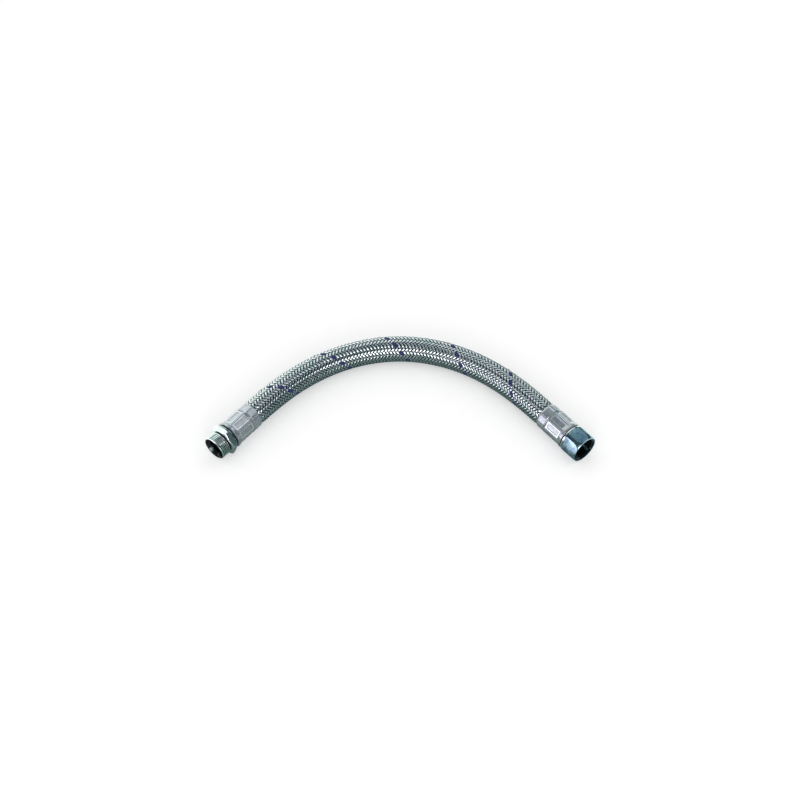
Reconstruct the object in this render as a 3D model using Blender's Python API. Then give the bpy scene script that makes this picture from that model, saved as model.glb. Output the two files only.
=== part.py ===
# Braided anti-vibration hose, nominal one inch: a rubber liner in a woven steel braid, crimped
# at one end to a male threaded insert and at the other to a tail that carries a swivel nut.
# Metres, +Z up. The hose lies on z = 0. The origin is the middle of the nut's lowest flat,
# and +X runs out of the nut's mouth.

import math

import bmesh
import bpy
import numpy as np

# Run of the hose, measured along its centreline from mouth to mouth
OVERALL_LENGTH = 0.600
BEND_DEGREES = 97.0
BEND_EVENNESS = 0.7
SETTLE_SHARE = 0.4

# Hose wall
LINER_BORE = 0.025
LINER_WALL = 0.00325
BRAID_WALL = 0.0012
BRAID_RELIEF = 0.0007
PLAIT_ROWS = 18
STRAND_PITCH = 0.0865
STRANDS_PER_FLOAT = 2
CRIMP_SQUEEZE = 0.0012
CRIMP_EASE = 0.005

# Clearances
SEAT_GAP = 0.0003
TAIL_GAP = 0.0004

# Thread that both ends share
THREAD_DIAMETER = 0.0332
THREAD_DEPTH = 0.00145

# Male insert, from its mouth inwards
SPIGOT_LENGTH = 0.0155
SPIGOT_CHAMFER = 0.0010
SPIGOT_WALL = 0.0041
MOUTH_WALL = 0.0021
MOUTH_FLARE_LENGTH = 0.0065
UNDERCUT_LENGTH = 0.0022
HEX_THICKNESS = 0.008
HEX_LEDGE = 0.00265
HEX_TURN_DEGREES = 14.0
HEX_FACE_INSET = 0.00085
NECK_LENGTH = 0.0045
NECK_RING_RISE = 0.0035
NECK_RING_LENGTH = 0.0008

# Barbed tail inside each end of the liner
TAIL_LENGTH = 0.038
TAIL_WALL = 0.00145
BARB_COUNT = 4
BARB_HEIGHT = 0.0006
BARB_FACE = 0.0003
GRIP_DEPTH = 0.0009
COLLAR_RISE = 0.0008
COLLAR_LENGTH = 0.0025

# Crimped ferrule, from its front wall towards the hose
FERRULE_LENGTH = 0.045
FERRULE_WALL = 0.00115
RIM_RISE = 0.00125
RIM_LENGTH = 0.0034
SHOULDER_LENGTH = 0.0016
PANEL_COUNT = 8
PANEL_SET = 0.0003
PANEL_LENGTH = 0.0255
PANEL_MARGIN = 0.0012
RIDGE_RISE = 0.0006
RIDGE_DEGREES = 8.0
RIDGE_SLOPE_DEGREES = 2.5
STEP_LENGTH = 0.0012
STEP_DEPTH = 0.0004
BAND_CORNER_RISE = 0.0003
BAND_LENGTH = 0.0100
MALE_CRIMP_TURN = math.radians(2.5)
NUT_CRIMP_TURN = math.radians(-10.5)

# Swivel nut and what it holds, from its mouth inwards
NUT_LENGTH = 0.0265
NUT_WALL = 0.00385
NUT_CORNER_TRIM = 0.0012
NUT_TAPER_LENGTH = 0.0070
NUT_EDGE = 0.0006
NUT_MOUTH_FLARE = 0.0010
NUT_COLLAR_LENGTH = 0.0030
NUT_COLLAR_SET = 0.0001
NUT_LIP = 0.0042
NUT_RELIEF_DEPTH = 0.0009
NUT_RELIEF_LENGTH = 0.0078
NUT_BACK_GAP = 0.0015
SEAT_LEDGE = 0.0019
SEAT_THICKNESS = 0.0035
GASKET_THICKNESS = 0.002
GASKET_BORE_EASE = 0.0005

# Corners of both hexagons
HEX_CORNER = math.radians(30.0)
CHAMFER = math.radians(30.0)

# Fineness of the facets
TURNED_SIDES = 36
SLEEVE_SIDES = 18
SLEEVE_STEP = 0.017
LINE_STEPS = 3000

# Radii that follow from the sizes above
liner_inner = LINER_BORE / 2
liner_outer = liner_inner + LINER_WALL
braid_inner = liner_outer + SEAT_GAP
braid_outer = braid_inner + BRAID_WALL
ferrule_inner = braid_outer - CRIMP_SQUEEZE + SEAT_GAP
ferrule_outer = ferrule_inner + FERRULE_WALL
barb_crest = liner_inner - TAIL_GAP
barb_root = barb_crest - BARB_HEIGHT
grip_root = barb_crest - GRIP_DEPTH
tail_collar = barb_crest + COLLAR_RISE
tail_bore = grip_root - TAIL_WALL
thread_crest = THREAD_DIAMETER / 2
thread_root = thread_crest - THREAD_DEPTH
male_apothem = thread_crest + HEX_LEDGE
nut_apothem = thread_root + NUT_WALL
seat_radius = thread_root - SEAT_GAP
seat_neck = seat_radius - SEAT_LEDGE
nut_relief = thread_root + NUT_RELIEF_DEPTH

# Places along each end, from its mouth inwards
male_ferrule_at = SPIGOT_LENGTH + HEX_THICKNESS + NECK_LENGTH
female_ferrule_at = NUT_LENGTH + NUT_BACK_GAP
male_end_length = male_ferrule_at + FERRULE_LENGTH
female_end_length = female_ferrule_at + FERRULE_LENGTH
seat_back = NUT_LENGTH - NUT_LIP - SEAT_GAP
seat_face = seat_back - SEAT_THICKNESS
nut_rest_at = (NUT_LENGTH - NUT_COLLAR_LENGTH) / 2
bar_length = 2 * (male_end_length + female_end_length)

# Heights of the axis over the surface that the hose lies on
hose_height = braid_outer
nut_height = nut_apothem
corner_lean = HEX_CORNER - math.radians(HEX_TURN_DEGREES)
male_height = male_apothem / math.cos(HEX_CORNER) * math.cos(corner_lean)


def clear_scene():
    for old in list(bpy.data.objects):
        bpy.data.objects.remove(old, do_unlink=True)


def material(name, colour, roughness, metallic):
    made = bpy.data.materials.new(name)
    made.use_nodes = True
    shader = made.node_tree.nodes["Principled BSDF"]
    shader.inputs["Base Color"].default_value = (*colour, 1.0)
    shader.inputs["Roughness"].default_value = roughness
    shader.inputs["Metallic"].default_value = metallic
    return made


def finish(name, bm, look, parent=None):
    """Turns a piece's faces out, keeps its sharp edges and links it as an object."""
    bmesh.ops.recalc_face_normals(bm, faces=bm.faces)
    mesh = bpy.data.meshes.new(name)
    bm.to_mesh(mesh)
    bm.free()
    mesh.materials.append(look)
    mesh.shade_smooth()
    mesh.set_sharp_from_angle(angle=math.radians(30.0))
    piece = bpy.data.objects.new(name, mesh)
    bpy.context.collection.objects.link(piece)
    piece.parent = parent
    return piece


def turned(name, outline, look, parent):
    """Spins a closed outline of (depth from the mouth, radius) points about the local X axis."""
    bm = bmesh.new()
    points = [bm.verts.new((depth, 0.0, radius)) for depth, radius in outline]
    edges = [bm.edges.new((points[i - 1], points[i])) for i in range(len(points))]
    bmesh.ops.spin(
        bm, geom=points + edges, cent=(0, 0, 0), axis=(1, 0, 0),
        angle=math.tau, steps=TURNED_SIDES, use_merge=True,
    )
    bmesh.ops.remove_doubles(bm, verts=bm.verts, dist=0.000001)
    return finish(name, bm, look, parent)


def loft(name, rings, look, parent=None):
    """Joins rings of points, the last back to the first, into one closed skin."""
    bm = bmesh.new()
    grid = [[bm.verts.new(point) for point in ring] for ring in rings]
    for i, ring in enumerate(grid):
        before = grid[i - 1]
        for j in range(len(ring)):
            bm.faces.new((before[j - 1], before[j], ring[j], ring[j - 1]))
    return finish(name, bm, look, parent)


def cut_to_hexagon(piece, apothem, turn):
    """Leaves what lies inside a hexagonal bar along the local X axis."""
    bm = bmesh.new()
    corner = apothem / math.cos(HEX_CORNER)
    bmesh.ops.create_cone(
        bm, cap_ends=True, segments=6, depth=bar_length, radius1=corner, radius2=corner
    )
    mesh = bpy.data.meshes.new(piece.name + "_bar")
    bm.to_mesh(mesh)
    bm.free()
    bar = bpy.data.objects.new(piece.name + "_bar", mesh)
    bpy.context.collection.objects.link(bar)
    bar.parent = piece
    # The bar's axis tips from Z to X first, which leaves a flat facing down, and then it turns.
    bar.rotation_mode = "ZYX"
    bar.rotation_euler = (turn, math.radians(90.0), 0.0)
    bar.hide_render = True
    bar.display_type = "WIRE"
    cut = piece.modifiers.new("hexagon", "BOOLEAN")
    cut.operation = "INTERSECT"
    cut.solver = "EXACT"
    cut.object = bar


def hose_line():
    """Plan points and headings at even steps from the male mouth to the nut's mouth."""
    along = np.linspace(0.0, OVERALL_LENGTH, LINE_STEPS + 1)
    flexible = OVERALL_LENGTH - male_end_length - female_end_length
    share = np.clip((along - male_end_length) / flexible, 0.0, 1.0)
    bend = np.sin(math.pi * share).clip(0.0) ** BEND_EVENNESS
    turned_so_far = np.concatenate([[0.0], np.cumsum((bend[1:] + bend[:-1]) / 2)])
    heading = math.radians(BEND_DEGREES) * (1.0 - turned_so_far / turned_so_far[-1])
    middle = (heading[1:] + heading[:-1]) / 2
    step = OVERALL_LENGTH / LINE_STEPS
    x = np.concatenate([[0.0], np.cumsum(np.cos(middle) * step)])
    y = np.concatenate([[0.0], np.cumsum(np.sin(middle) * step)])
    return along, x - x[-1] + nut_rest_at, y - y[-1], heading


def axis_height(along):
    """Height of the centreline: level at both fittings, down to the surface between them."""
    flexible = OVERALL_LENGTH - male_end_length - female_end_length
    share = np.clip((along - male_end_length) / flexible, 0.0, 1.0)
    from_male = (1 + np.cos(math.pi * np.clip(share / SETTLE_SHARE, 0.0, 1.0))) / 2
    from_nut = (1 + np.cos(math.pi * np.clip((1.0 - share) / SETTLE_SHARE, 0.0, 1.0))) / 2
    rise_male = (male_height - hose_height) * from_male
    rise_nut = (nut_height - hose_height) * from_nut
    return hose_height + rise_male + rise_nut


line_along, line_x, line_y, line_heading = hose_line()


def place_on_hose(along, angle, radius):
    """Point at an angle round the hose, nought at the top, at a distance from its centre."""
    x = float(np.interp(along, line_along, line_x))
    y = float(np.interp(along, line_along, line_y))
    heading = float(np.interp(along, line_along, line_heading))
    reach = OVERALL_LENGTH / LINE_STEPS
    slope = float(axis_height(along + reach) - axis_height(along - reach)) / (2 * reach)
    pitch = math.atan(slope)
    left = radius * math.sin(angle)
    up = radius * math.cos(angle)
    forward = -up * math.sin(pitch)
    return (
        x + forward * math.cos(heading) - left * math.sin(heading),
        y + forward * math.sin(heading) + left * math.cos(heading),
        float(axis_height(along)) + up * math.cos(pitch),
    )


def sleeve_ends():
    """Where liner and braid start and end, each just short of its tail's collar."""
    behind_front = FERRULE_WALL + SEAT_GAP + COLLAR_LENGTH + SEAT_GAP
    return male_ferrule_at + behind_front, OVERALL_LENGTH - female_ferrule_at - behind_front


def free_ends():
    """Where the hose comes free of each ferrule."""
    return male_end_length + SEAT_GAP, OVERALL_LENGTH - female_end_length - SEAT_GAP


def sleeve_stations():
    """Distances along the hose for the rings of a sleeve, close together only at the crimps."""
    start, end = sleeve_ends()
    first, last = free_ends()
    count = max(2, round((last - first - 2 * CRIMP_EASE) / SLEEVE_STEP))
    free = np.linspace(first + CRIMP_EASE, last - CRIMP_EASE, count + 1)
    return [start, first, *free, last, end]


def squeezed(along):
    """How far the crimps press the wall in at a place along the hose."""
    first, last = free_ends()
    outside = min(along - first, last - along)
    return CRIMP_SQUEEZE * (1.0 - min(max(outside / CRIMP_EASE, 0.0), 1.0))


def sleeve_ring(along, radius):
    angles = [math.tau * i / SLEEVE_SIDES for i in range(SLEEVE_SIDES)]
    return [place_on_hose(along, angle, radius) for angle in angles]


def make_liner(look):
    stations = sleeve_stations()
    outer = [sleeve_ring(s, liner_outer - squeezed(s)) for s in stations]
    inner = [sleeve_ring(s, liner_inner) for s in reversed(stations)]
    return loft("liner_tube", outer + inner, look)


def zip_up(bm, left, right):
    """Fills the strip between two columns of (place, vertex), always taking the nearer step."""
    i = j = 0
    while i < len(left) - 1 or j < len(right) - 1:
        left_next = left[i + 1][0] if i < len(left) - 1 else math.inf
        right_next = right[j + 1][0] if j < len(right) - 1 else math.inf
        if left_next < right_next:
            bm.faces.new((left[i][1], left[i + 1][1], right[j][1]))
            i += 1
        else:
            bm.faces.new((left[i][1], right[j + 1][1], right[j][1]))
            j += 1


def make_braid(look):
    """Plaited sleeve: slanting floats side by side in rows, each row's slant against the next.
    A crest runs along the middle of each row and dips at every groove between two floats, and
    the valleys between rows meet the grooves of both sides."""
    start, end = sleeve_ends()
    first, last = free_ends()
    woven = last - first - 2 * CRIMP_EASE
    float_pitch = STRANDS_PER_FLOAT * STRAND_PITCH / PLAIT_ROWS
    floats = max(2, round(woven / float_pitch))
    float_length = woven / floats
    crimped = braid_outer - CRIMP_SQUEEZE
    bm = bmesh.new()

    def column(turn, places):
        made = [(start, crimped), (first, crimped), *places, (last, crimped), (end, crimped)]
        return [(s, bm.verts.new(place_on_hose(s, turn, radius))) for s, radius in made]

    def woven_at(part):
        return first + CRIMP_EASE + part * float_length

    columns = []
    for row in range(PLAIT_ROWS):
        turn = math.tau * row / PLAIT_ROWS
        offset = 0.0 if row % 2 == 0 else 0.5
        valley = [
            (woven_at(i + offset), braid_outer - BRAID_RELIEF)
            for i in range(floats + 1) if i + offset <= floats
        ]
        crest = []
        for i in range(floats):
            crest.append((woven_at(i + 0.25), braid_outer - BRAID_RELIEF / 2))
            crest.append((woven_at(i + 0.75), braid_outer))
        columns.append(column(turn, crest))
        columns.append(column(turn + math.pi / PLAIT_ROWS, valley))
    for i, right in enumerate(columns):
        zip_up(bm, columns[i - 1], right)

    stations = sleeve_stations()
    inner = []
    for i in range(SLEEVE_SIDES):
        turn = math.tau * i / SLEEVE_SIDES
        inner.append([
            (s, bm.verts.new(place_on_hose(s, turn, braid_inner - squeezed(s))))
            for s in stations
        ])
    for i, right in enumerate(inner):
        zip_up(bm, inner[i - 1], right)

    for end_index in (0, -1):
        rims = []
        for side in (columns, inner):
            around = [column[end_index][1] for column in side]
            rims.append([(i / len(side), around[i % len(side)]) for i in range(len(side) + 1)])
        zip_up(bm, *rims)
    return finish("wire_braid", bm, look)


def tail_outline(ferrule_at):
    """Outline of a barbed tail from the ferrule's grip groove in to its tip and bore."""
    grip_front = ferrule_at - SEAT_GAP
    grip_back = ferrule_at + FERRULE_WALL + SEAT_GAP
    collar_end = grip_back + COLLAR_LENGTH
    points = [
        (grip_front, grip_root), (grip_back, grip_root),
        (grip_back, tail_collar), (collar_end, tail_collar),
    ]
    tip = ferrule_at + TAIL_LENGTH
    barb_start = collar_end + SEAT_GAP
    barb_length = (tip - TAIL_WALL / 2 - barb_start) / BARB_COUNT
    for barb in range(BARB_COUNT):
        foot = barb_start + barb * barb_length
        points += [(foot, barb_root), (foot + BARB_FACE, barb_crest)]
    points += [(tip - TAIL_WALL / 2, barb_root), (tip, tail_bore + TAIL_WALL / 2)]
    points.append((tip, tail_bore))
    return points


def make_male_insert(look, parent):
    """One turned piece: threaded spigot, hexagon, neck and barbed tail, bored right through."""
    hex_back = SPIGOT_LENGTH + HEX_THICKNESS
    face_circle = male_apothem - HEX_FACE_INSET
    corner = male_apothem / math.cos(HEX_CORNER) + SEAT_GAP
    chamfer = (corner - face_circle) * math.tan(CHAMFER)
    undercut = thread_root - SEAT_GAP
    mouth_bore = thread_crest - SPIGOT_WALL
    flare = thread_crest - MOUTH_WALL
    neck = (grip_root + thread_root) / 2
    neck_ring = neck + NECK_RING_RISE
    ring_from = hex_back + (NECK_LENGTH - NECK_RING_LENGTH) / 2
    ring_to = ring_from + NECK_RING_LENGTH
    outline = [
        (0.0, thread_crest - SPIGOT_CHAMFER),
        (SPIGOT_CHAMFER, thread_crest),
        (SPIGOT_LENGTH - UNDERCUT_LENGTH, thread_crest),
        (SPIGOT_LENGTH - UNDERCUT_LENGTH / 2, undercut),
        (SPIGOT_LENGTH, undercut),
        (SPIGOT_LENGTH, face_circle),
        (SPIGOT_LENGTH + chamfer, corner),
        (hex_back - chamfer, corner),
        (hex_back, face_circle),
        (hex_back, neck),
        (ring_from, neck),
        (ring_from, neck_ring),
        (ring_to, neck_ring),
        (ring_to, neck),
        (male_ferrule_at - SEAT_GAP, neck),
    ]
    outline += tail_outline(male_ferrule_at)
    outline += [
        (SPIGOT_LENGTH + HEX_THICKNESS / 2, tail_bore),
        (SPIGOT_LENGTH, mouth_bore),
        (MOUTH_FLARE_LENGTH, mouth_bore),
        (SPIGOT_CHAMFER / 4, flare),
        (0.0, flare + SPIGOT_CHAMFER / 4),
    ]
    insert = turned("male_insert", outline, look, parent)
    cut_to_hexagon(insert, male_apothem, math.radians(HEX_TURN_DEGREES))
    return insert


def make_female_tail(look, parent):
    """Tail of the swivel end: its flange holds the nut's lip and carries the gasket."""
    edge = SEAT_GAP
    outline = [
        (seat_face, seat_radius - edge),
        (seat_face + edge, seat_radius),
        (seat_back, seat_radius),
        (seat_back, seat_neck),
        (female_ferrule_at - SEAT_GAP, seat_neck),
    ]
    outline += tail_outline(female_ferrule_at)
    neck_bore = min(tail_bore, seat_neck - TAIL_WALL)
    outline += [(female_ferrule_at, neck_bore), (seat_face, neck_bore)]
    return turned("female_tail", outline, look, parent)


def make_gasket(look, parent):
    front = seat_face - SEAT_GAP - GASKET_THICKNESS
    back = seat_face - SEAT_GAP
    inner = tail_bore + GASKET_BORE_EASE
    outer = seat_radius - SEAT_GAP
    outline = [(front, inner), (front, outer), (back, outer), (back, inner)]
    return turned("gasket", outline, look, parent)


def make_nut(look, parent):
    """Swivel nut: socket for the mating thread, relief round the flange, lip behind it."""
    corner = nut_apothem / math.cos(HEX_CORNER) - NUT_CORNER_TRIM
    collar = nut_apothem - NUT_COLLAR_SET
    mouth = nut_apothem - NUT_EDGE / 2
    hex_end = NUT_LENGTH - NUT_COLLAR_LENGTH
    chamfer = (corner - collar) * math.tan(CHAMFER)
    relief_end = NUT_LENGTH - NUT_LIP
    relief_start = relief_end - NUT_RELIEF_LENGTH
    lip_bore = seat_neck + SEAT_GAP
    outline = [
        (0.0, thread_crest + NUT_MOUTH_FLARE),
        (0.0, mouth),
        (NUT_EDGE, mouth + NUT_EDGE),
        (NUT_EDGE + NUT_TAPER_LENGTH, corner),
        (hex_end - chamfer, corner),
        (hex_end, collar),
        (NUT_LENGTH - NUT_EDGE, collar),
        (NUT_LENGTH, collar - NUT_EDGE),
        (NUT_LENGTH, lip_bore),
        (relief_end, lip_bore),
        (relief_end, nut_relief),
        (relief_start, nut_relief),
        (relief_start - NUT_RELIEF_DEPTH, thread_root),
        (THREAD_DEPTH + NUT_MOUTH_FLARE, thread_root),
    ]
    nut = turned("swivel_nut", outline, look, parent)
    cut_to_hexagon(nut, nut_apothem, 0.0)
    return nut


def crimp_angles():
    """Angles round a ferrule: for each panel a ridge's middle and edge, then the panel's flat."""
    sector = math.tau / PANEL_COUNT
    ridge = math.radians(RIDGE_DEGREES / 2)
    slope = math.radians(RIDGE_SLOPE_DEGREES)
    within = [0.0, ridge, ridge + slope, sector / 2, sector - ridge - slope, sector - ridge]
    return [panel * sector + angle for panel in range(PANEL_COUNT) for angle in within]


def flat_radius(angle, apothem):
    """Distance to a flat that is square to the middle of its panel."""
    sector = math.tau / PANEL_COUNT
    return apothem / math.cos(angle % sector - sector / 2)


def ferrule_ring(depth, radius_at, turn):
    return [
        (depth, radius_at(angle) * math.sin(angle + turn), radius_at(angle) * math.cos(angle + turn))
        for angle in crimp_angles()
    ]


def make_ferrule(name, ferrule_at, turn, look, parent):
    """Pressed shell: turned-in front, flared rim, a belt of flat panels between ridges, a step
    and the faceted rear band that closes on the braid."""
    rim = ferrule_outer + RIM_RISE
    ridge = ferrule_outer + RIDGE_RISE
    step = ferrule_outer - STEP_DEPTH
    edge = FERRULE_WALL / 3
    sector = math.tau / PANEL_COUNT
    ridge_edge = math.radians(RIDGE_DEGREES / 2 + RIDGE_SLOPE_DEGREES / 2)

    def plain(radius):
        return lambda angle: radius

    def panelled(angle):
        off_ridge = min(angle % sector, sector - angle % sector)
        return flat_radius(angle, ferrule_outer - PANEL_SET) if off_ridge > ridge_edge else ridge

    def banded(angle):
        return min(flat_radius(angle, ferrule_outer), ferrule_outer + BAND_CORNER_RISE)

    panel_from = RIM_LENGTH + SHOULDER_LENGTH
    panel_to = panel_from + PANEL_LENGTH
    band_from = panel_to + 2 * STEP_LENGTH
    band_to = band_from + BAND_LENGTH
    belt = [
        (0.0, plain(grip_root + SEAT_GAP)),
        (0.0, plain(rim - edge)),
        (edge, plain(rim)),
        (RIM_LENGTH, plain(rim)),
        (panel_from, plain(ridge)),
        (panel_from + PANEL_MARGIN, panelled),
        (panel_to - PANEL_MARGIN, panelled),
        (panel_to, plain(ridge)),
        (panel_to + STEP_LENGTH, plain(step)),
        (band_from, banded),
        (band_to, banded),
        (FERRULE_LENGTH, plain(step)),
        (FERRULE_LENGTH, plain(ferrule_inner)),
        (FERRULE_WALL, plain(ferrule_inner)),
        (FERRULE_WALL, plain(grip_root + SEAT_GAP)),
    ]
    rings = [ferrule_ring(ferrule_at + depth, radius_at, turn) for depth, radius_at in belt]
    return loft(name, rings, look, parent)


def end_frame(name, x, y, height, heading):
    """Empty at the middle of a mouth, its X axis pointing into the hose."""
    frame = bpy.data.objects.new(name, None)
    bpy.context.collection.objects.link(frame)
    frame.location = (x, y, height)
    frame.rotation_euler = (0.0, 0.0, heading)
    return frame


def build():
    clear_scene()
    rubber = material("rubber", (0.03, 0.03, 0.032), 0.7, 0.0)
    wire = material("braid_wire", (0.62, 0.66, 0.66), 0.35, 1.0)
    pressed = material("pressed_steel", (0.74, 0.75, 0.80), 0.3, 1.0)
    plated = material("zinc_plate", (0.60, 0.68, 0.66), 0.3, 1.0)
    bright = material("bright_plate", (0.70, 0.76, 0.77), 0.15, 1.0)
    seal = material("gasket_rubber", (0.10, 0.16, 0.12), 0.8, 0.0)

    male_end = end_frame("male_end", line_x[0], line_y[0], male_height, line_heading[0])
    nut_end = end_frame("nut_end", line_x[-1], line_y[-1], nut_height, math.pi)

    make_liner(rubber)
    make_braid(wire)
    make_male_insert(plated, male_end)
    make_ferrule("male_ferrule", male_ferrule_at, MALE_CRIMP_TURN, pressed, male_end)
    make_female_tail(plated, nut_end)
    make_ferrule("female_ferrule", female_ferrule_at, NUT_CRIMP_TURN, pressed, nut_end)
    make_gasket(seal, nut_end)
    make_nut(bright, nut_end)


build()
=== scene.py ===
import math
import bpy
import numpy as np
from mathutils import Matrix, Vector


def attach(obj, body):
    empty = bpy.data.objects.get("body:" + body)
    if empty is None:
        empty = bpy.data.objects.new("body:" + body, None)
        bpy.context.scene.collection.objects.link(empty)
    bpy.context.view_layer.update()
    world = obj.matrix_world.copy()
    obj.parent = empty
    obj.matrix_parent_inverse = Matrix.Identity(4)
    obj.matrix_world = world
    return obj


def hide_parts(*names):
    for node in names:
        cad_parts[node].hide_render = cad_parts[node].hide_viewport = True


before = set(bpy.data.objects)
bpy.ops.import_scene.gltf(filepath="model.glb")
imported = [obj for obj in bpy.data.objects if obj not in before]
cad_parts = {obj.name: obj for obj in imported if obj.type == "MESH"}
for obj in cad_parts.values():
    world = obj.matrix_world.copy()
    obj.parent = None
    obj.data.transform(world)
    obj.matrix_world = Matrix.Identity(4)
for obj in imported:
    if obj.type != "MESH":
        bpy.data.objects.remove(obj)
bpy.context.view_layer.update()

scene = bpy.context.scene
scene.view_settings.view_transform = "Standard"
print("frame loaded:", len(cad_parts), "solids")


# camera
cameraView = {
    "azimuth": 48.47,  # degrees, nought looks along +Y
    "elevation": 55.0,
    "distance": 3.145,
    "target": (-0.2056, -0.1262, 0.018),
    "lens": 108.0,
    "sensor": 36.0,
    "clip": (0.05, 30.0),
}


def placeCamera(view):
    turn, lift = math.radians(view["azimuth"]), math.radians(view["elevation"])
    back = Vector((math.sin(turn) * math.cos(lift), -math.cos(turn) * math.cos(lift), math.sin(lift)))
    data = bpy.data.cameras.new("photoCamera")
    data.lens = view["lens"]
    data.sensor_width = view["sensor"]
    data.clip_start, data.clip_end = view["clip"]
    camera = bpy.data.objects.new("photoCamera", data)
    bpy.context.collection.objects.link(camera)
    camera.location = Vector(view["target"]) + back * view["distance"]
    camera.rotation_euler = (-back).to_track_quat("-Z", "Y").to_euler()
    scene.camera = camera


placeCamera(cameraView)
print("camera placed")


# the line that the hose lies on
hoseRun = {
    "length": 0.600,  # mouth to mouth along the centreline
    "fittingLength": 0.073,  # straight part at each end
    "freeFrom": 0.0733,  # where the braid leaves the first ferrule
    "freeTo": 0.5267,
    "bendDegrees": 97.0,
    "bendEvenness": 0.7,
    "settleShare": 0.4,
    "maleHeight": 0.0213669,
    "nutHeight": 0.019,
    "lyingHeight": 0.01725,
    "mouthX": 0.01175,
    "squeeze": 0.0012,  # how far the crimps press the braid in
    "squeezeEase": 0.005,
    "steps": 3000,
    "cordPoints": 40,
}


def drawHoseLine(run):
    along = np.linspace(0.0, run["length"], run["steps"] + 1)
    flexible = run["length"] - 2 * run["fittingLength"]
    share = np.clip((along - run["fittingLength"]) / flexible, 0.0, 1.0)
    bend = np.sin(math.pi * share).clip(0.0) ** run["bendEvenness"]
    turned = np.concatenate([[0.0], np.cumsum((bend[1:] + bend[:-1]) / 2)])
    heading = math.radians(run["bendDegrees"]) * (1.0 - turned / turned[-1])
    middle = (heading[1:] + heading[:-1]) / 2
    step = run["length"] / run["steps"]
    x = np.concatenate([[0.0], np.cumsum(np.cos(middle) * step)])
    y = np.concatenate([[0.0], np.cumsum(np.sin(middle) * step)])
    fromMale = (1 + np.cos(math.pi * np.clip(share / run["settleShare"], 0.0, 1.0))) / 2
    fromNut = (1 + np.cos(math.pi * np.clip((1.0 - share) / run["settleShare"], 0.0, 1.0))) / 2
    height = (
        run["lyingHeight"]
        + (run["maleHeight"] - run["lyingHeight"]) * fromMale
        + (run["nutHeight"] - run["lyingHeight"]) * fromNut
    )
    return along, x - x[-1] + run["mouthX"], y - y[-1], heading, height


lineAlong, lineX, lineY, lineHeading, lineHeight = drawHoseLine(hoseRun)
linePitch = np.arctan(np.gradient(lineHeight, lineAlong))


# points round the hose, nought at the top and turning to the left of the way the hose runs
def pointsOnHose(along, angle, radius):
    x, y = np.interp(along, lineAlong, lineX), np.interp(along, lineAlong, lineY)
    heading = np.interp(along, lineAlong, lineHeading)
    height = np.interp(along, lineAlong, lineHeight)
    pitch = np.interp(along, lineAlong, linePitch)
    left, up = radius * np.sin(angle), radius * np.cos(angle)
    forward = -up * np.sin(pitch)
    return np.stack([
        x + forward * np.cos(heading) - left * np.sin(heading),
        y + forward * np.sin(heading) + left * np.cos(heading),
        height + up * np.cos(pitch),
    ], axis=-1)


def squeezeAt(along):
    outside = np.minimum(along - hoseRun["freeFrom"], hoseRun["freeTo"] - along)
    return hoseRun["squeeze"] * (1.0 - np.clip(outside / hoseRun["squeezeEase"], 0.0, 1.0))


# braid: 36 flat bands of wire, over two and under two
braid = {
    "bandsEachWay": 18,
    "twistPitch": 0.0865,  # length of one full turn of a band
    "tracerTurn": 124.9,  # degrees at the male mouth, the band that the yarn takes
    "overTurn": 2.0,  # degrees from the top to a row's middle, where one way lies over the other
    "centreRadius": 0.01652,
    "weaveRise": 0.00045,
    "weaveSteepness": 1.3,
    "bandWidth": 0.0026,
    "yarnWidth": 0.0036,
    "bandHalfThickness": 0.00028,
    "bandCrown": 0.00030,  # how much lower the outer wires of a band lie
    "bandFoot": 0.86,  # half width of the underside, as a share of the band's
    "bandSide": -0.15,  # height of a band's two sides, in half thicknesses
    "wiresInBand": 8,
    "wireGroove": 0.00005,
    "yarnPlies": 4,
    "yarnWidthShare": 0.94,
    "yarnFoot": 0.7,
    "yarnRoundness": 0.85,
    "yarnCrown": 1.35,  # height in half thicknesses, less the sink
    "yarnSink": 0.15,
    "yarnGroove": 0.0001,
    "toneSpread": (12.9898, 78.233),  # spreads the bands' lightness without any order
    "rings": 440,
    "tuckedIn": 0.003,  # how far the bands run on inside each ferrule
    "pieces": 4,
}


# one band's cross-section: (place across, height), wires along the top, then the underside
def wireSection(braid):
    half, groove, wires = braid["bandHalfThickness"], braid["wireGroove"], braid["wiresInBand"]
    section = []
    for i in range(2 * wires + 1):
        across = i / wires - 1.0
        edgeDrop = braid["bandCrown"] * across * across
        section.append((across, half - edgeDrop - (groove if i % 2 == 0 else 0.0)))
    section[0] = (-1.0, braid["bandSide"] * half)
    section[-1] = (1.0, braid["bandSide"] * half)
    section += [(braid["bandFoot"], -half), (-braid["bandFoot"], -half)]
    grooves = list(range(0, 2 * wires + 1, 2)) + [2 * wires + 1, 2 * wires + 2]
    return section, grooves


# the yarn's cross-section is rounder, with a groove between its plies
def yarnSection(braid):
    half, section, plies = braid["bandHalfThickness"], [], braid["yarnPlies"]
    for i in range(6 * plies + 1):
        across = i / (3 * plies) - 1.0
        groove = braid["yarnGroove"] * (1.0 - abs(math.sin(math.pi * i / 6)))
        crown = math.sqrt(max(0.0, 1.0 - braid["yarnRoundness"] * across * across))
        height = half * (braid["yarnCrown"] * crown - braid["yarnSink"]) - groove
        section.append((braid["yarnWidthShare"] * across, height))
    section += [(braid["yarnFoot"], -half), (-braid["yarnFoot"], -half)]
    return section, [0, 6 * plies, 6 * plies + 1, 6 * plies + 2]


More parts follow.
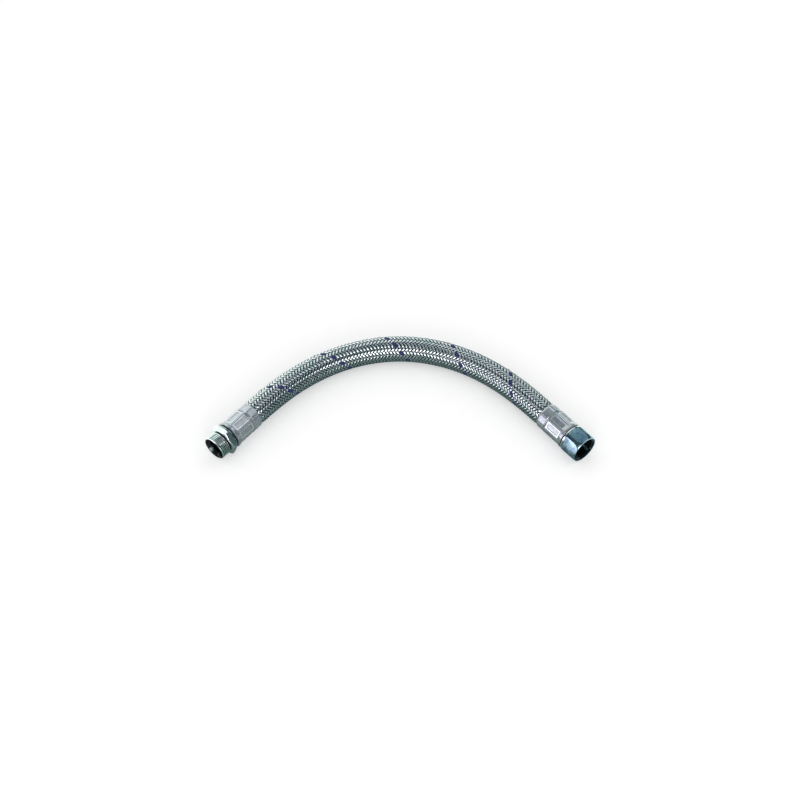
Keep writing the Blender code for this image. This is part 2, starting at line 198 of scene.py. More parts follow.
# the rings of points of one band, where each lies along the hose, and nought to one for under to over
def bandRings(startTurn, direction, section, width):
    radius = braid["centreRadius"]
    start = hoseRun["freeFrom"] - braid["tuckedIn"]
    end = hoseRun["freeTo"] + braid["tuckedIn"]
    along = np.linspace(start, end, braid["rings"])[:, None]
    turn = math.radians(startTurn) + direction * math.tau * along / braid["twistPitch"]
    wave = np.cos((turn - math.radians(braid["overTurn"])) * braid["bandsEachWay"] / 2)
    lift = np.tanh(braid["weaveSteepness"] * wave) / math.tanh(braid["weaveSteepness"])
    across = np.array([point[0] for point in section])[None, :] * width / 2
    height = np.array([point[1] for point in section])[None, :]
    slant = math.atan(math.tau * radius / braid["twistPitch"])
    alongHere = along - direction * across * math.sin(slant)
    turnHere = turn + across * math.cos(slant) / radius
    radiusHere = radius + direction * braid["weaveRise"] * lift + height - squeezeAt(alongHere)
    return pointsOnHose(alongHere, turnHere, radiusHere), alongHere, (1 + direction * lift) / 2


def joinBands(name, bands, section, grooves, width):
    count, rings = len(section), braid["rings"]
    points, faces, tones, lifts, uvs = [], [], [], [], []
    across = np.array([(point[0] + 1) / 2 for point in section])
    ringStart = np.arange(rings - 1)[:, None] * count
    column = np.arange(count)[None, :]
    following = (column + 1) % count
    quads = np.stack([
        ringStart + column, ringStart + count + column,
        ringStart + count + following, ringStart + following,
    ], axis=-1).reshape(-1, 4)
    for number, (startTurn, direction) in enumerate(bands):
        grid, alongHere, lift = bandRings(startTurn, direction, section, width)
        offset = number * rings * count
        points.append(grid.reshape(-1, 3))
        faces += (quads + offset).tolist()
        faces.append([offset + i for i in range(count)])
        faces.append([offset + (rings - 1) * count + i for i in reversed(range(count))])
        turnSpread, waySpread = braid["toneSpread"]
        tone = 0.5 + 0.5 * math.sin(startTurn * turnSpread + direction * waySpread)
        tones.append(np.full(rings * count, tone))
        lifts.append(np.broadcast_to(lift, (rings, count)).ravel())
        uvs.append(np.stack([
            np.broadcast_to(across, (rings, count)), alongHere / width
        ], axis=-1).reshape(-1, 2))
    mesh = bpy.data.meshes.new(name)
    mesh.from_pydata(np.concatenate(points).tolist(), [], faces)
    mesh.update(calc_edges=True)
    mesh.shade_smooth()
    ends = np.empty(len(mesh.edges) * 2, dtype=np.int32)
    mesh.edges.foreach_get("vertices", ends)
    ends = ends.reshape(-1, 2)
    inGroove = np.isin(ends[:, 0] % count, grooves) & (ends[:, 0] % count == ends[:, 1] % count)
    sharp = mesh.attributes.new("sharp_edge", "BOOLEAN", "EDGE")
    sharp.data.foreach_set("value", inGroove)
    for label, values in (("bandTone", tones), ("bandLift", lifts)):
        layer = mesh.attributes.new(label, "FLOAT", "POINT")
        layer.data.foreach_set("value", np.concatenate(values).astype(np.float32))
    corners = np.empty(len(mesh.loops), dtype=np.int32)
    mesh.loops.foreach_get("vertex_index", corners)
    uvLayer = mesh.uv_layers.new(name="alongBand")
    uvLayer.data.foreach_set("uv", np.concatenate(uvs)[corners].astype(np.float32).ravel())
    piece = bpy.data.objects.new(name, mesh)
    bpy.context.collection.objects.link(piece)
    return piece


def weaveBraid():
    step = 360.0 / braid["bandsEachWay"]
    tracer = braid["tracerTurn"]
    # crossings lie halfway between two bands' turns, five degrees each side of a row's middle
    other = 2 * (braid["overTurn"] + step / 4) - tracer
    bands = [(other + step * i, 1) for i in range(braid["bandsEachWay"])]
    bands += [(tracer + step * i, -1) for i in range(1, braid["bandsEachWay"])]
    section, grooves = wireSection(braid)
    pieces = []
    for i in range(braid["pieces"]):
        name, share = "braidWires%d" % (i + 1), bands[i::braid["pieces"]]
        pieces.append(joinBands(name, share, section, grooves, braid["bandWidth"]))
    section, grooves = yarnSection(braid)
    pieces.append(joinBands("tracerYarn", [(tracer, -1)], section, grooves, braid["yarnWidth"]))
    return pieces


braidPieces = weaveBraid()
print("braid woven:", sum(len(piece.data.polygons) for piece in braidPieces), "faces")


latheMerge = 0.000005  # joins the last ring to the first


# turns a closed outline of (depth, radius) about the X axis: a circle, pushed out and scaled
def turnOnLathe(name, outline, sides):
    bpy.ops.object.select_all(action="DESELECT")
    depth, radius = outline[0]
    bpy.ops.mesh.primitive_circle_add(
        vertices=sides, radius=radius, fill_type="NOTHING",
        location=(depth, 0, 0), rotation=(0, math.pi / 2, 0),
    )
    piece = bpy.context.object
    piece.name = name
    piece.data.name = name
    bpy.ops.object.transform_apply(location=True, rotation=True, scale=True)
    bpy.ops.object.mode_set(mode="EDIT")
    bpy.ops.mesh.select_all(action="SELECT")
    for nextDepth, nextRadius in outline[1:] + outline[:1]:
        bpy.ops.mesh.extrude_edges_move(TRANSFORM_OT_translate={"value": (nextDepth - depth, 0, 0)})
        grow = nextRadius / radius
        bpy.ops.transform.resize(value=(1, grow, grow), center_override=(nextDepth, 0, 0))
        depth, radius = nextDepth, nextRadius
    bpy.ops.mesh.select_all(action="SELECT")
    bpy.ops.mesh.remove_doubles(threshold=latheMerge)
    bpy.ops.mesh.normals_make_consistent(inside=False)
    bpy.ops.object.mode_set(mode="OBJECT")
    return piece


hexagonCut = {
    "sliceWithin": 0.00001,
    "mergeWithin": 0.00006,
    "onFlat": 0.00004,  # how near to a flat's plane a face is part of it
    "facing": 0.999,  # and how squarely it faces the same way
    "bevelArea": 0.00001,  # in square metres, more than any face of a bevel
}


# slices six flats off the corners, softens their edges and notes the edges as worn
def sliceHexagon(piece, apothem, turn, depthFrom, depthTo, edgeWidth):
    bpy.ops.object.select_all(action="DESELECT")
    piece.select_set(True)
    bpy.context.view_layer.objects.active = piece
    bpy.ops.object.mode_set(mode="EDIT")
    for side in range(6):
        angle = turn + math.radians(60 * side)
        normal = (0, math.sin(angle), math.cos(angle))
        bpy.ops.mesh.select_all(action="SELECT")
        bpy.ops.mesh.bisect(
            plane_co=tuple(apothem * part for part in normal), plane_no=normal,
            use_fill=True, clear_outer=True, threshold=hexagonCut["sliceWithin"],
        )
    bpy.ops.mesh.select_all(action="SELECT")
    bpy.ops.mesh.remove_doubles(threshold=hexagonCut["mergeWithin"])
    bpy.ops.mesh.select_all(action="DESELECT")
    bpy.ops.object.mode_set(mode="OBJECT")
    flats = []
    for face in piece.data.polygons:
        middle = face.center
        if not depthFrom < middle.x < depthTo:
            continue
        for side in range(6):
            angle = turn + math.radians(60 * side)
            reach = middle.y * math.sin(angle) + middle.z * math.cos(angle)
            lean = face.normal.y * math.sin(angle) + face.normal.z * math.cos(angle)
            if abs(reach - apothem) < hexagonCut["onFlat"] and lean > hexagonCut["facing"]:
                flats.append(face.index)
    border = {}
    for index in flats:
        for key in piece.data.polygons[index].edge_keys:
            border[key] = border.get(key, 0) + 1
    for edge in piece.data.edges:
        edge.select = border.get(edge.key, 0) == 1
    bpy.ops.object.mode_set(mode="EDIT")
    bpy.ops.mesh.select_mode(type="EDGE")
    bpy.ops.mesh.bevel(offset=edgeWidth, segments=2, affect="EDGES", clamp_overlap=True)
    bpy.ops.mesh.select_mode(type="VERT")
    bpy.ops.object.mode_set(mode="OBJECT")
    edgeWearAndHighlight = []
    for face in piece.data.polygons:
        bevelled = all(piece.data.vertices[index].select for index in face.vertices)
        isWorn = bevelled and face.area < hexagonCut["bevelArea"]
        edgeWearAndHighlight += [float(isWorn)] * len(face.vertices)
    wornAndHighlight = piece.data.attributes.new("edgeWearAndHighlight", "FLOAT", "CORNER")
    wornAndHighlight.data.foreach_set("value", edgeWearAndHighlight)
    print(piece.name, "flats:", len(flats), "worn corners:", int(sum(edgeWearAndHighlight)), "of", len(edgeWearAndHighlight))


def softStep(value):
    value = min(max(value, 0.0), 1.0)
    return value * value * (3 - 2 * value)


pipeThread = {
    "pitch": 0.002309,
    "crest": 0.0166,  # radius, of the spigot; the nut's thread has its root here
    "root": 0.01515,
    "flat": 0.05,  # share of a flank that is flat, at the crest and at the root
    "roundness": 0.75,
    "runOut": 0.0009,
}
nearDepth = 0.000001  # slack when a ring of a turned piece is picked by its depth or radius
nearRadius = 0.0001


# cuts a right-hand thread into the rings of a turned piece that lie at one radius
def cutThread(piece, start, end, turnedAt, crest, root):
    flat, roundness = pipeThread["flat"], pipeThread["roundness"]
    for vertex in piece.data.vertices:
        depth, y, z = vertex.co
        radius = math.hypot(y, z)
        if not start - nearDepth <= depth <= end + nearDepth or abs(radius - turnedAt) > nearRadius:
            continue
        phase = (depth / pipeThread["pitch"] + math.atan2(y, z) / math.tau) % 1.0
        flank = 1.0 - abs(2.0 * phase - 1.0)
        ridge = min(max((flank - flat) / (1.0 - 2 * flat), 0.0), 1.0)
        ridge = softStep(ridge) * roundness + ridge * (1.0 - roundness)
        ends = min(depth - start, end - depth) / pipeThread["runOut"]
        cut = turnedAt + (root + (crest - root) * ridge - turnedAt) * min(max(ends, 0.0), 1.0)
        vertex.co = (depth, y * cut / radius, z * cut / radius)


# each end's mouth, and the way its pieces run into the hose
endPlaces = {
    "male": {"place": (-0.3054586, -0.3585391, 0.0213669), "turn": 97.0},
    "nut": {"place": (0.01175, 0.0, 0.019), "turn": 180.0},
}


# moves a piece from its own depth and radius to its end of the hose, and leaves the place in its mesh
def setAtEnd(piece, end, smoothAngle):
    bpy.ops.object.select_all(action="DESELECT")
    piece.select_set(True)
    bpy.context.view_layer.objects.active = piece
    piece.location = endPlaces[end]["place"]
    piece.rotation_euler = (0, 0, math.radians(endPlaces[end]["turn"]))
    bpy.ops.object.transform_apply(location=True, rotation=True, scale=True)
    bpy.ops.object.shade_smooth_by_angle(angle=math.radians(smoothAngle))
    return piece


# male insert: threaded spigot, hexagon, neck, barbed tail
maleInsert = {
    "spigotLength": 0.0155,
    "chamfer": 0.0010,
    "undercut": 0.0022,
    "softEdge": 0.0002,
    "mouthRadius": 0.0145,
    "mouthFlareLength": 0.0065,
    "boreRadius": 0.0125,
    "hexThickness": 0.008,
    "hexApothem": 0.01925,
    "hexTurnDegrees": 14.0,
    "hexFace": 0.0184,
    "neckRadius": 0.0132,
    "neckLength": 0.0045,
    "neckRing": 0.01665,
    "neckRingLength": 0.0008,
    "gripRadius": 0.0112,
    "collarRadius": 0.0129,
    "collarFrom": 0.00145,  # behind the ferrule's front, to hold its wall
    "collarTo": 0.00395,
    "tailBore": 0.00975,
    "tailRadius": 0.0119,
    "tailTaper": 0.0012,
    "ferruleAt": 0.028,
    "tailLength": 0.038,
    "edgeWidth": 0.00035,
    "sides": 120,
    "ringsPerPitch": 13,
    "smoothAngle": 32.0,
}


def makeMaleInsert(sizes):
    crest, root, edge = pipeThread["crest"], pipeThread["root"], sizes["softEdge"]
    spigot, bore, neck = sizes["spigotLength"], sizes["boreRadius"], sizes["neckRadius"]
    hexBack, hexFace = spigot + sizes["hexThickness"], sizes["hexFace"]
    corner = sizes["hexApothem"] / math.cos(math.radians(30)) + edge * 1.5  # turned past the corners
    chamfer = (corner - hexFace) * math.tan(math.radians(30))
    threadFrom, threadTo = sizes["chamfer"], spigot - sizes["undercut"]
    undercut = root - edge * 1.5
    ringFrom = hexBack + (sizes["neckLength"] - sizes["neckRingLength"]) / 2
    ringTo = ringFrom + sizes["neckRingLength"]
    ferruleAt, tailEnd = sizes["ferruleAt"], sizes["ferruleAt"] + sizes["tailLength"]
    rings = round((threadTo - threadFrom) / pipeThread["pitch"] * sizes["ringsPerPitch"])
    outline = [
        (0.0, crest - sizes["chamfer"] - edge),
        (edge, crest - sizes["chamfer"] + edge * 0.5),
    ]
    outline += [(threadFrom + (threadTo - threadFrom) * i / rings, crest) for i in range(rings + 1)]
    outline += [
        (threadTo + sizes["undercut"] * 0.35, undercut),
        (spigot - edge * 1.5, undercut),
        (spigot, undercut + edge * 2),
        (spigot, hexFace),
        (spigot + chamfer, corner),
        (hexBack - chamfer, corner),
        (hexBack, hexFace),
        (hexBack, neck + edge * 1.5),
        (hexBack + edge * 1.5, neck),
        (ringFrom, neck),
        (ringFrom, sizes["neckRing"] - edge),
        (ringFrom + edge, sizes["neckRing"]),
        (ringTo - edge, sizes["neckRing"]),
        (ringTo, sizes["neckRing"] - edge),
        (ringTo, neck),
        (ferruleAt - edge * 1.5, neck),
        (ferruleAt - edge * 1.5, sizes["gripRadius"]),
        (ferruleAt + sizes["collarFrom"], sizes["gripRadius"]),
        (ferruleAt + sizes["collarFrom"], sizes["collarRadius"]),
        (ferruleAt + sizes["collarTo"], sizes["collarRadius"]),
        (ferruleAt + sizes["collarTo"], sizes["tailRadius"]),
        (tailEnd, sizes["tailRadius"] - sizes["tailTaper"]),
        (tailEnd, sizes["tailBore"]),
        (spigot + sizes["hexThickness"] / 2, sizes["tailBore"]),
        (spigot, bore),
        (sizes["mouthFlareLength"] + edge * 3, bore),
        (sizes["mouthFlareLength"] - edge * 3, bore + edge),
        (edge * 1.5, sizes["mouthRadius"]),
        (0.0, sizes["mouthRadius"] + edge * 1.5),
    ]
    piece = turnOnLathe("maleInsertTurned", outline, sizes["sides"])
    cutThread(piece, threadFrom, threadTo, crest, crest, root)
    hexTurn = math.radians(sizes["hexTurnDegrees"])
    sliceHexagon(piece, sizes["hexApothem"], hexTurn, spigot, hexBack, sizes["edgeWidth"])
    return setAtEnd(piece, "male", sizes["smoothAngle"])


insertPiece = makeMaleInsert(maleInsert)
print("male insert turned")


# swivel nut: inside thread, tapered corners, round collar
swivelNut = {
    "length": 0.0265,
    "apothem": 0.019,
    "cornerRadius": 0.02074,
    "collarRadius": 0.0189,
    "collarLength": 0.0030,
    "mouthRadius": 0.0187,
    "mouthFlare": 0.0176,
    "taperLength": 0.0070,
    "taperBulge": 0.00022,
    "mouthEdge": 0.0006,
    "reliefRadius": 0.01605,
    "reliefFrom": 0.0145,
    "lipRadius": 0.01325,
    "lipLength": 0.0042,
    "grooveDepth": 0.0006,  # between the hexagon and the collar
    "grooveSteps": (0.0003, 0.0009, 0.0012),  # where it is deep, starts to rise and ends
    "collarEdge": 0.0007,
    "softEdge": 0.0002,
    "edgeWidth": 0.0005,
    "sides": 120,
    "ringsPerPitch": 12,
    "smoothAngle": 32.0,
}


def makeSwivelNut(sizes):
    length, corner, collar = sizes["length"], sizes["cornerRadius"], sizes["collarRadius"]
    edge, softEdge = sizes["mouthEdge"], sizes["softEdge"]
    hexEnd = length - sizes["collarLength"]
    chamfer = (corner - collar) * math.tan(math.radians(30))
    mouth, taperTo = sizes["mouthRadius"], edge + sizes["taperLength"]
    outline = [
        (0.0, sizes["mouthFlare"]),
        (0.0, mouth),
        (edge * 0.35, mouth + edge * 0.65),
        (edge, mouth + edge),
    ]
    for i in range(1, 9):
        t = i / 8
        bulge = sizes["taperBulge"] * math.sin(math.pi * t)
        radius = mouth + edge + (corner - mouth - edge) * t + bulge
        outline.append((edge + sizes["taperLength"] * t, radius))
    for i in range(1, 10):
        outline.append((taperTo + (hexEnd - chamfer - taperTo) * i / 9, corner))
    grooveDeep, grooveRise, grooveEnd = (hexEnd + step for step in sizes["grooveSteps"])
    groove = collar - sizes["grooveDepth"]
    outline += [
        (hexEnd - chamfer * 0.5, (corner + collar) / 2),
        (hexEnd, collar - softEdge),
        (grooveDeep, groove),
        (grooveRise, groove),
        (grooveEnd, collar),
        (length - sizes["collarEdge"], collar),
        (length - softEdge, collar - softEdge),
        (length, collar - sizes["collarEdge"]),
        (length, sizes["lipRadius"]),
        (length - sizes["lipLength"], sizes["lipRadius"]),
        (length - sizes["lipLength"], sizes["reliefRadius"]),
        (sizes["reliefFrom"], sizes["reliefRadius"]),
    ]
    # the inside thread is turned at its innermost radius and cut outwards
    inner, outer = pipeThread["root"], pipeThread["crest"]
    threadFrom = sizes["mouthFlare"] - inner
    threadTo = sizes["reliefFrom"] - pipeThread["runOut"]
    rings = round((threadTo - threadFrom) / pipeThread["pitch"] * sizes["ringsPerPitch"])
    outline += [(threadTo - (threadTo - threadFrom) * i / rings, inner) for i in range(rings + 1)]
    piece = turnOnLathe("swivelNutTurned", outline, sizes["sides"])
    cutThread(piece, threadFrom, threadTo, inner, inner, outer)
    sliceHexagon(piece, sizes["apothem"], 0.0, 0.0, hexEnd, sizes["edgeWidth"])
    # the collar is painted bright all round: partly wear, partly a painted highlight
    wornAndHighlight = piece.data.attributes["edgeWearAndHighlight"].data
    for face in piece.data.polygons:
        reach = math.hypot(face.center.y, face.center.z)
        if face.center.x > grooveEnd - softEdge and reach > collar - sizes["collarEdge"] + softEdge:
            for index in face.loop_indices:
                wornAndHighlight[index].value = 1.0
    return setAtEnd(piece, "nut", sizes["smoothAngle"])


nutPiece = makeSwivelNut(swivelNut)
print("swivel nut turned")


# ferrules: flared rim, belt of pressed panels between ridges, step, faceted band
ferrule = {
    "length": 0.045,
    "wall": 0.00115,
    "boreRadius": 0.01635,
    "frontBore": 0.0115,
    "softEdge": 0.0004,
    "rimRadius": 0.01875,
    "rimLength": 0.0034,
    "shoulderLength": 0.0016,
    "ridgeRadius": 0.0181,
    "panels": 8,  # panelColumns below is drawn for eight
    "panelLength": 0.0255,
    "panelApothem": 0.0172,
    "panelMargin": 0.0014,
    "ridgeHalf": 3.0,  # degrees from a ridge's middle to where it starts to fall
    "ridgeSlope": 3.1,
    "crestHalf": 2.6,
    "frameWidth": 0.0018,  # of the frame round each panel's field
    "frameStep": 0.0005,
    "fieldDepth": 0.00045,
    "fieldAt": 11.0,  # degrees from a ridge's middle to the field's edge
    "fieldSlope": 1.6,
    "stepRadius": 0.0171,
    "stepLength": 0.0012,
    "bandLength": 0.010,
    "bandApothem": 0.0174,
    "bandCorner": 0.0178,
    "depth": 0.028,  # from the end's mouth
    "turnAtMale": 2.5,  # degrees from the top to the first ridge
    "turnAtNut": -10.5,
    "smoothAngle": 28.0,
}

# how far the dies rubbed each part, partly wear and partly painted light: from nought for a dark line of
# painted shade to one for a bright crest with a painted highlight
pressRubAndPaintedLight = {
    "plain": 0.55,
    "crest": 1.0,
    "frame": 0.85,
    "fieldShadeDrop": 0.33,
    "fieldEdgeShadeDrop": 0.8,
    "foot": 0.1,  # painted shade at the foot of a ridge, and along a panel's two ends
    "margin": 0.6,
}

# angles of the edge lines within one panel, in degrees from its ridge
panelColumns = [
    0.0, 2.3, 3.5, 4.7, 6.1, 8.0, 11.0, 11.8, 12.6, 17.0, 22.5,
    28.0, 32.4, 33.2, 34.0, 37.0, 38.9, 40.3, 41.5, 42.7,
]


# depths of the belt and of the band behind a ferrule's front
def ferrulePlaces(sizes):
    panelFrom = sizes["rimLength"] + sizes["shoulderLength"]
    panelTo = panelFrom + sizes["panelLength"]
    bandFrom = panelTo + 2 * sizes["stepLength"]
    return panelFrom, panelTo, bandFrom, bandFrom + sizes["bandLength"]


# radius of a point on the belt, and its rub with painted shade and highlight, from its distance to the
# nearer end and its degrees from a ridge
def pressBelt(sizes, flat, inside, fromRidge):
    ridge, margin = sizes["ridgeRadius"], sizes["panelMargin"]
    rise = 1.0 - softStep((fromRidge - sizes["ridgeHalf"]) / sizes["ridgeSlope"])
    pressed = flat + (ridge - flat) * rise
    radius = ridge + (pressed - ridge) * softStep(inside / margin)
    field = softStep((inside - margin - sizes["frameWidth"]) / sizes["frameStep"])
    field *= softStep((fromRidge - sizes["fieldAt"]) / sizes["fieldSlope"])
    # a pressed field is painted darker, and its edge darker still: painted shade in the recess
    rubAndPaintedLight = pressRubAndPaintedLight["frame"] - pressRubAndPaintedLight["fieldShadeDrop"] * field
    rubAndPaintedLight -= pressRubAndPaintedLight["fieldEdgeShadeDrop"] * (1.0 - abs(2 * field - 1.0))
    # painted shade along each ridge's foot and the panels' ends, and a painted highlight on each ridge's
    # crest
    atFoot = sizes["ridgeHalf"] < fromRidge < 2 * sizes["ridgeHalf"]
    if inside < margin * 0.7 or atFoot:
        rubAndPaintedLight = pressRubAndPaintedLight["foot"] if inside > margin * 0.3 else pressRubAndPaintedLight["margin"]
    if fromRidge < sizes["crestHalf"]:
        rubAndPaintedLight = pressRubAndPaintedLight["crest"]
    return radius - sizes["fieldDepth"] * field, rubAndPaintedLight


# presses the belt and the band, and notes where the dies rubbed the metal bright, with a painted
# highlight, and where they left a dark line of painted shade
def pressPanels(piece, sizes, turn):
    panelFrom, panelTo, bandFrom, bandTo = (sizes["depth"] + place for place in ferrulePlaces(sizes))
    columns, panels = len(panelColumns), sizes["panels"]
    panelTurn = 360.0 / panels
    rubbedAndPaintedLight = []
    for vertex in piece.data.vertices:
        depth, y, z = vertex.co
        radius = math.hypot(y, z)
        column = math.degrees(math.atan2(y, z)) % 360.0 / 360.0 * panels * columns
        panel, column = divmod(round(column) % (panels * columns), columns)
        within = panelColumns[column]
        angle = math.radians(panelTurn * panel + within + turn)
        middle = math.cos(math.radians(abs(within - panelTurn / 2)))
        fromRidge = min(within, panelTurn - within)
        outside = radius > sizes["boreRadius"] + sizes["wall"] / 4
        rubAndPaintedLight = pressRubAndPaintedLight["plain"]
        if outside and panelFrom - nearDepth <= depth <= panelTo + nearDepth:
            inside = min(depth - panelFrom, panelTo - depth)
            radius, rubAndPaintedLight = pressBelt(sizes, sizes["panelApothem"] / middle, inside, fromRidge)
        elif outside and bandFrom - nearDepth <= depth <= bandTo + nearDepth:
            radius = min(sizes["bandApothem"] / middle, sizes["bandCorner"])
            # a painted highlight along each corner of the band
            rubAndPaintedLight = pressRubAndPaintedLight["crest"] if fromRidge < sizes["crestHalf"] else rubAndPaintedLight
        rubbedAndPaintedLight.append(rubAndPaintedLight)
        vertex.co = (depth, radius * math.sin(angle), radius * math.cos(angle))
    layer = piece.data.attributes.new("rubbedAndPaintedLight", "FLOAT", "POINT")
    layer.data.foreach_set("value", rubbedAndPaintedLight)


def makeFerrule(name, sizes, end, turn):
    length, rimEnd = sizes["length"], sizes["rimLength"]
    rim, ridge, step = sizes["rimRadius"], sizes["ridgeRadius"], sizes["stepRadius"]
    bore, edge, margin = sizes["boreRadius"], sizes["softEdge"], sizes["panelMargin"]
    panelFrom, panelTo, bandFrom, bandTo = ferrulePlaces(sizes)
    outline = [
        (0.0, sizes["frontBore"]),
        (0.0, rim - edge * 1.6),
        (edge * 0.25, rim - edge * 0.7),
        (edge, rim - edge * 0.1),
        (edge * 1.8, rim),
        (rimEnd - edge, rim),
        (rimEnd, rim - edge * 0.4),
        (rimEnd + edge, rim - edge * 1.25),
        (panelFrom - edge * 1.5, ridge + edge * 0.125),
    ]
    # rings of the belt: its two ends, both sides of the frame, and the field
    insets = [margin * t for t in (0.0, 0.2, 0.4, 0.6, 0.8, 1.0)]
    insets += [margin + sizes["frameWidth"] + sizes["frameStep"] * t for t in (0.0, 0.5, 1.0)]
    outline += [(panelFrom + inset, ridge) for inset in insets]
    outline += [(panelFrom + sizes["panelLength"] * t, ridge) for t in (0.3, 0.5, 0.7)]
    outline += [(panelTo - inset, ridge) for inset in reversed(insets)]
    outline += [
        (panelTo + sizes["stepLength"] * 0.4, step + edge * 0.75),
        (panelTo + sizes["stepLength"] * 0.8, step),
        (panelTo + sizes["stepLength"] * 1.3, step),
        (bandFrom, sizes["bandApothem"]),
        (bandFrom + edge * 1.25, sizes["bandApothem"]),
        (bandFrom + sizes["bandLength"] * 0.5, sizes["bandApothem"]),
        (bandTo - edge * 1.25, sizes["bandApothem"]),
        (bandTo, sizes["bandApothem"]),
        (length - edge * 1.25, step + edge * 0.25),
        (length - edge * 0.25, step - edge * 0.25),
        (length, step - edge),
        (length, bore + edge * 0.25),
        (length - edge * 0.5, bore),
        (sizes["wall"], bore),
        (sizes["wall"], sizes["frontBore"]),
    ]
    outline = [(sizes["depth"] + depth, radius) for depth, radius in outline]
    piece = turnOnLathe(name, outline, sizes["panels"] * len(panelColumns))
    pressPanels(piece, sizes, turn)
    return setAtEnd(piece, end, sizes["smoothAngle"])


maleFerrule = makeFerrule("maleFerrulePressed", ferrule, "male", ferrule["turnAtMale"])
nutFerrule = makeFerrule("nutFerrulePressed", ferrule, "nut", ferrule["turnAtNut"])
print("ferrules pressed")


# node groups that several finishes share
def startGroup(name, inputs, outputs):
    group = bpy.data.node_groups.new(name, "ShaderNodeTree")
    for label, kind, value in inputs:
        socket = group.interface.new_socket(name=label, in_out="INPUT", socket_type=kind)
        if value is not None:
            socket.default_value = value
    for label, kind in outputs:
        group.interface.new_socket(name=label, in_out="OUTPUT", socket_type=kind)
    source = group.nodes.new("NodeGroupInput")
    target = group.nodes.new("NodeGroupOutput")
    source.location, target.location = (-900, 0), (500, 0)
    return group, source, target


def addNode(tree, kind, place, **values):
    node = tree.nodes.new(kind)
    node.location = place
    for key, value in values.items():
        setattr(node, key, value)
    return node


def noiseNode(tree, place, scale, detail, roughness=0.5):
    node = addNode(tree, "ShaderNodeTexNoise", place)
    node.inputs["Scale"].default_value = scale
    node.inputs["Detail"].default_value = detail
    node.inputs["Roughness"].default_value = roughness
    return node


def rampNode(tree, place, stops):
    node = addNode(tree, "ShaderNodeValToRGB", place)
    ramp = node.color_ramp
    while len(ramp.elements) < len(stops):
        ramp.elements.new(0.5)
    for element, (position, colour) in zip(ramp.elements, stops):
        element.position = position
        element.color = (*colour, 1.0)
    return node


def mixColour(tree, place, blend="MIX"):
    return addNode(tree, "ShaderNodeMix", place, data_type="RGBA", blend_type=blend)


def multiplyColours(tree, place, first, second):
    node = mixColour(tree, place, "MULTIPLY")
    node.inputs["Factor"].default_value = 1.0
    tree.links.new(first, node.inputs["A"])
    tree.links.new(second, node.inputs["B"])
    return node.outputs["Result"]


def mathNode(tree, place, operation, first, second):
    node = addNode(tree, "ShaderNodeMath", place, operation=operation)
    for socket, value in zip(node.inputs, (first, second)):
        if isinstance(value, (int, float)):
            socket.default_value = value
        else:
            tree.links.new(value, socket)
    return node.outputs["Value"]


def bumpNode(tree, place, height, distance):
    node = addNode(tree, "ShaderNodeBump", place)
    node.inputs["Distance"].default_value = distance
    tree.links.new(height, node.inputs["Height"])
    return node


def attributeNode(tree, place, name):
    return addNode(
        tree, "ShaderNodeAttribute", place, attribute_name=name, attribute_type="GEOMETRY",
    )


def groupNode(tree, group, place, **values):
    node = addNode(tree, "ShaderNodeGroup", place, node_tree=group)
    for key, value in values.items():
        node.inputs[key.replace("_", " ")].default_value = value
    return node


# pale plating with soft patches of two tints, as passivated zinc has
def buildPlatingTints():
    group, source, target = startGroup(
        "platingTints",
        [("Vector", "NodeSocketVector", None), ("Pale", "NodeSocketColor", (0.8, 0.82, 0.83, 1)),
         ("Tint", "NodeSocketColor", (0.5, 0.7, 0.68, 1)),
         ("Second Tint", "NodeSocketColor", (0.6, 0.58, 0.75, 1)),
         ("Patch Scale", "NodeSocketFloat", 60.0)],
        [("Color", "NodeSocketColor")],
    )
    link = group.links.new
    broad = noiseNode(group, (-650, 200), 60, 3, 0.55)
    fine = noiseNode(group, (-650, -150), 900, 2, 0.6)
    link(source.outputs["Vector"], broad.inputs["Vector"])
    link(source.outputs["Patch Scale"], broad.inputs["Scale"])
    link(source.outputs["Vector"], fine.inputs["Vector"])
    # the noise's high spots take the first tint, its low spots the second
    first = rampNode(group, (-450, 250), [(0.42, (0, 0, 0)), (0.62, (1, 1, 1))])
    second = rampNode(group, (-450, 0), [(0.32, (1, 1, 1)), (0.48, (0, 0, 0))])
    link(broad.outputs["Fac"], first.inputs["Fac"])
    link(broad.outputs["Fac"], second.inputs["Fac"])
    tinted = mixColour(group, (-150, 200))
    link(first.outputs["Color"], tinted.inputs["Factor"])
    link(source.outputs["Pale"], tinted.inputs["A"])
    link(source.outputs["Tint"], tinted.inputs["B"])
    both = mixColour(group, (50, 150))
    link(second.outputs["Color"], both.inputs["Factor"])
    link(tinted.outputs["Result"], both.inputs["A"])
    link(source.outputs["Second Tint"], both.inputs["B"])
    speck = rampNode(group, (-450, -200), [(0.25, (0.86, 0.87, 0.88)), (0.6, (1, 1, 1))])
    link(fine.outputs["Fac"], speck.inputs["Fac"])
    out = multiplyColours(group, (250, 100), both.outputs["Result"], speck.outputs["Color"])
    link(out, target.inputs["Color"])
    return group


scratchDepth = 0.6  # in heights of the grain


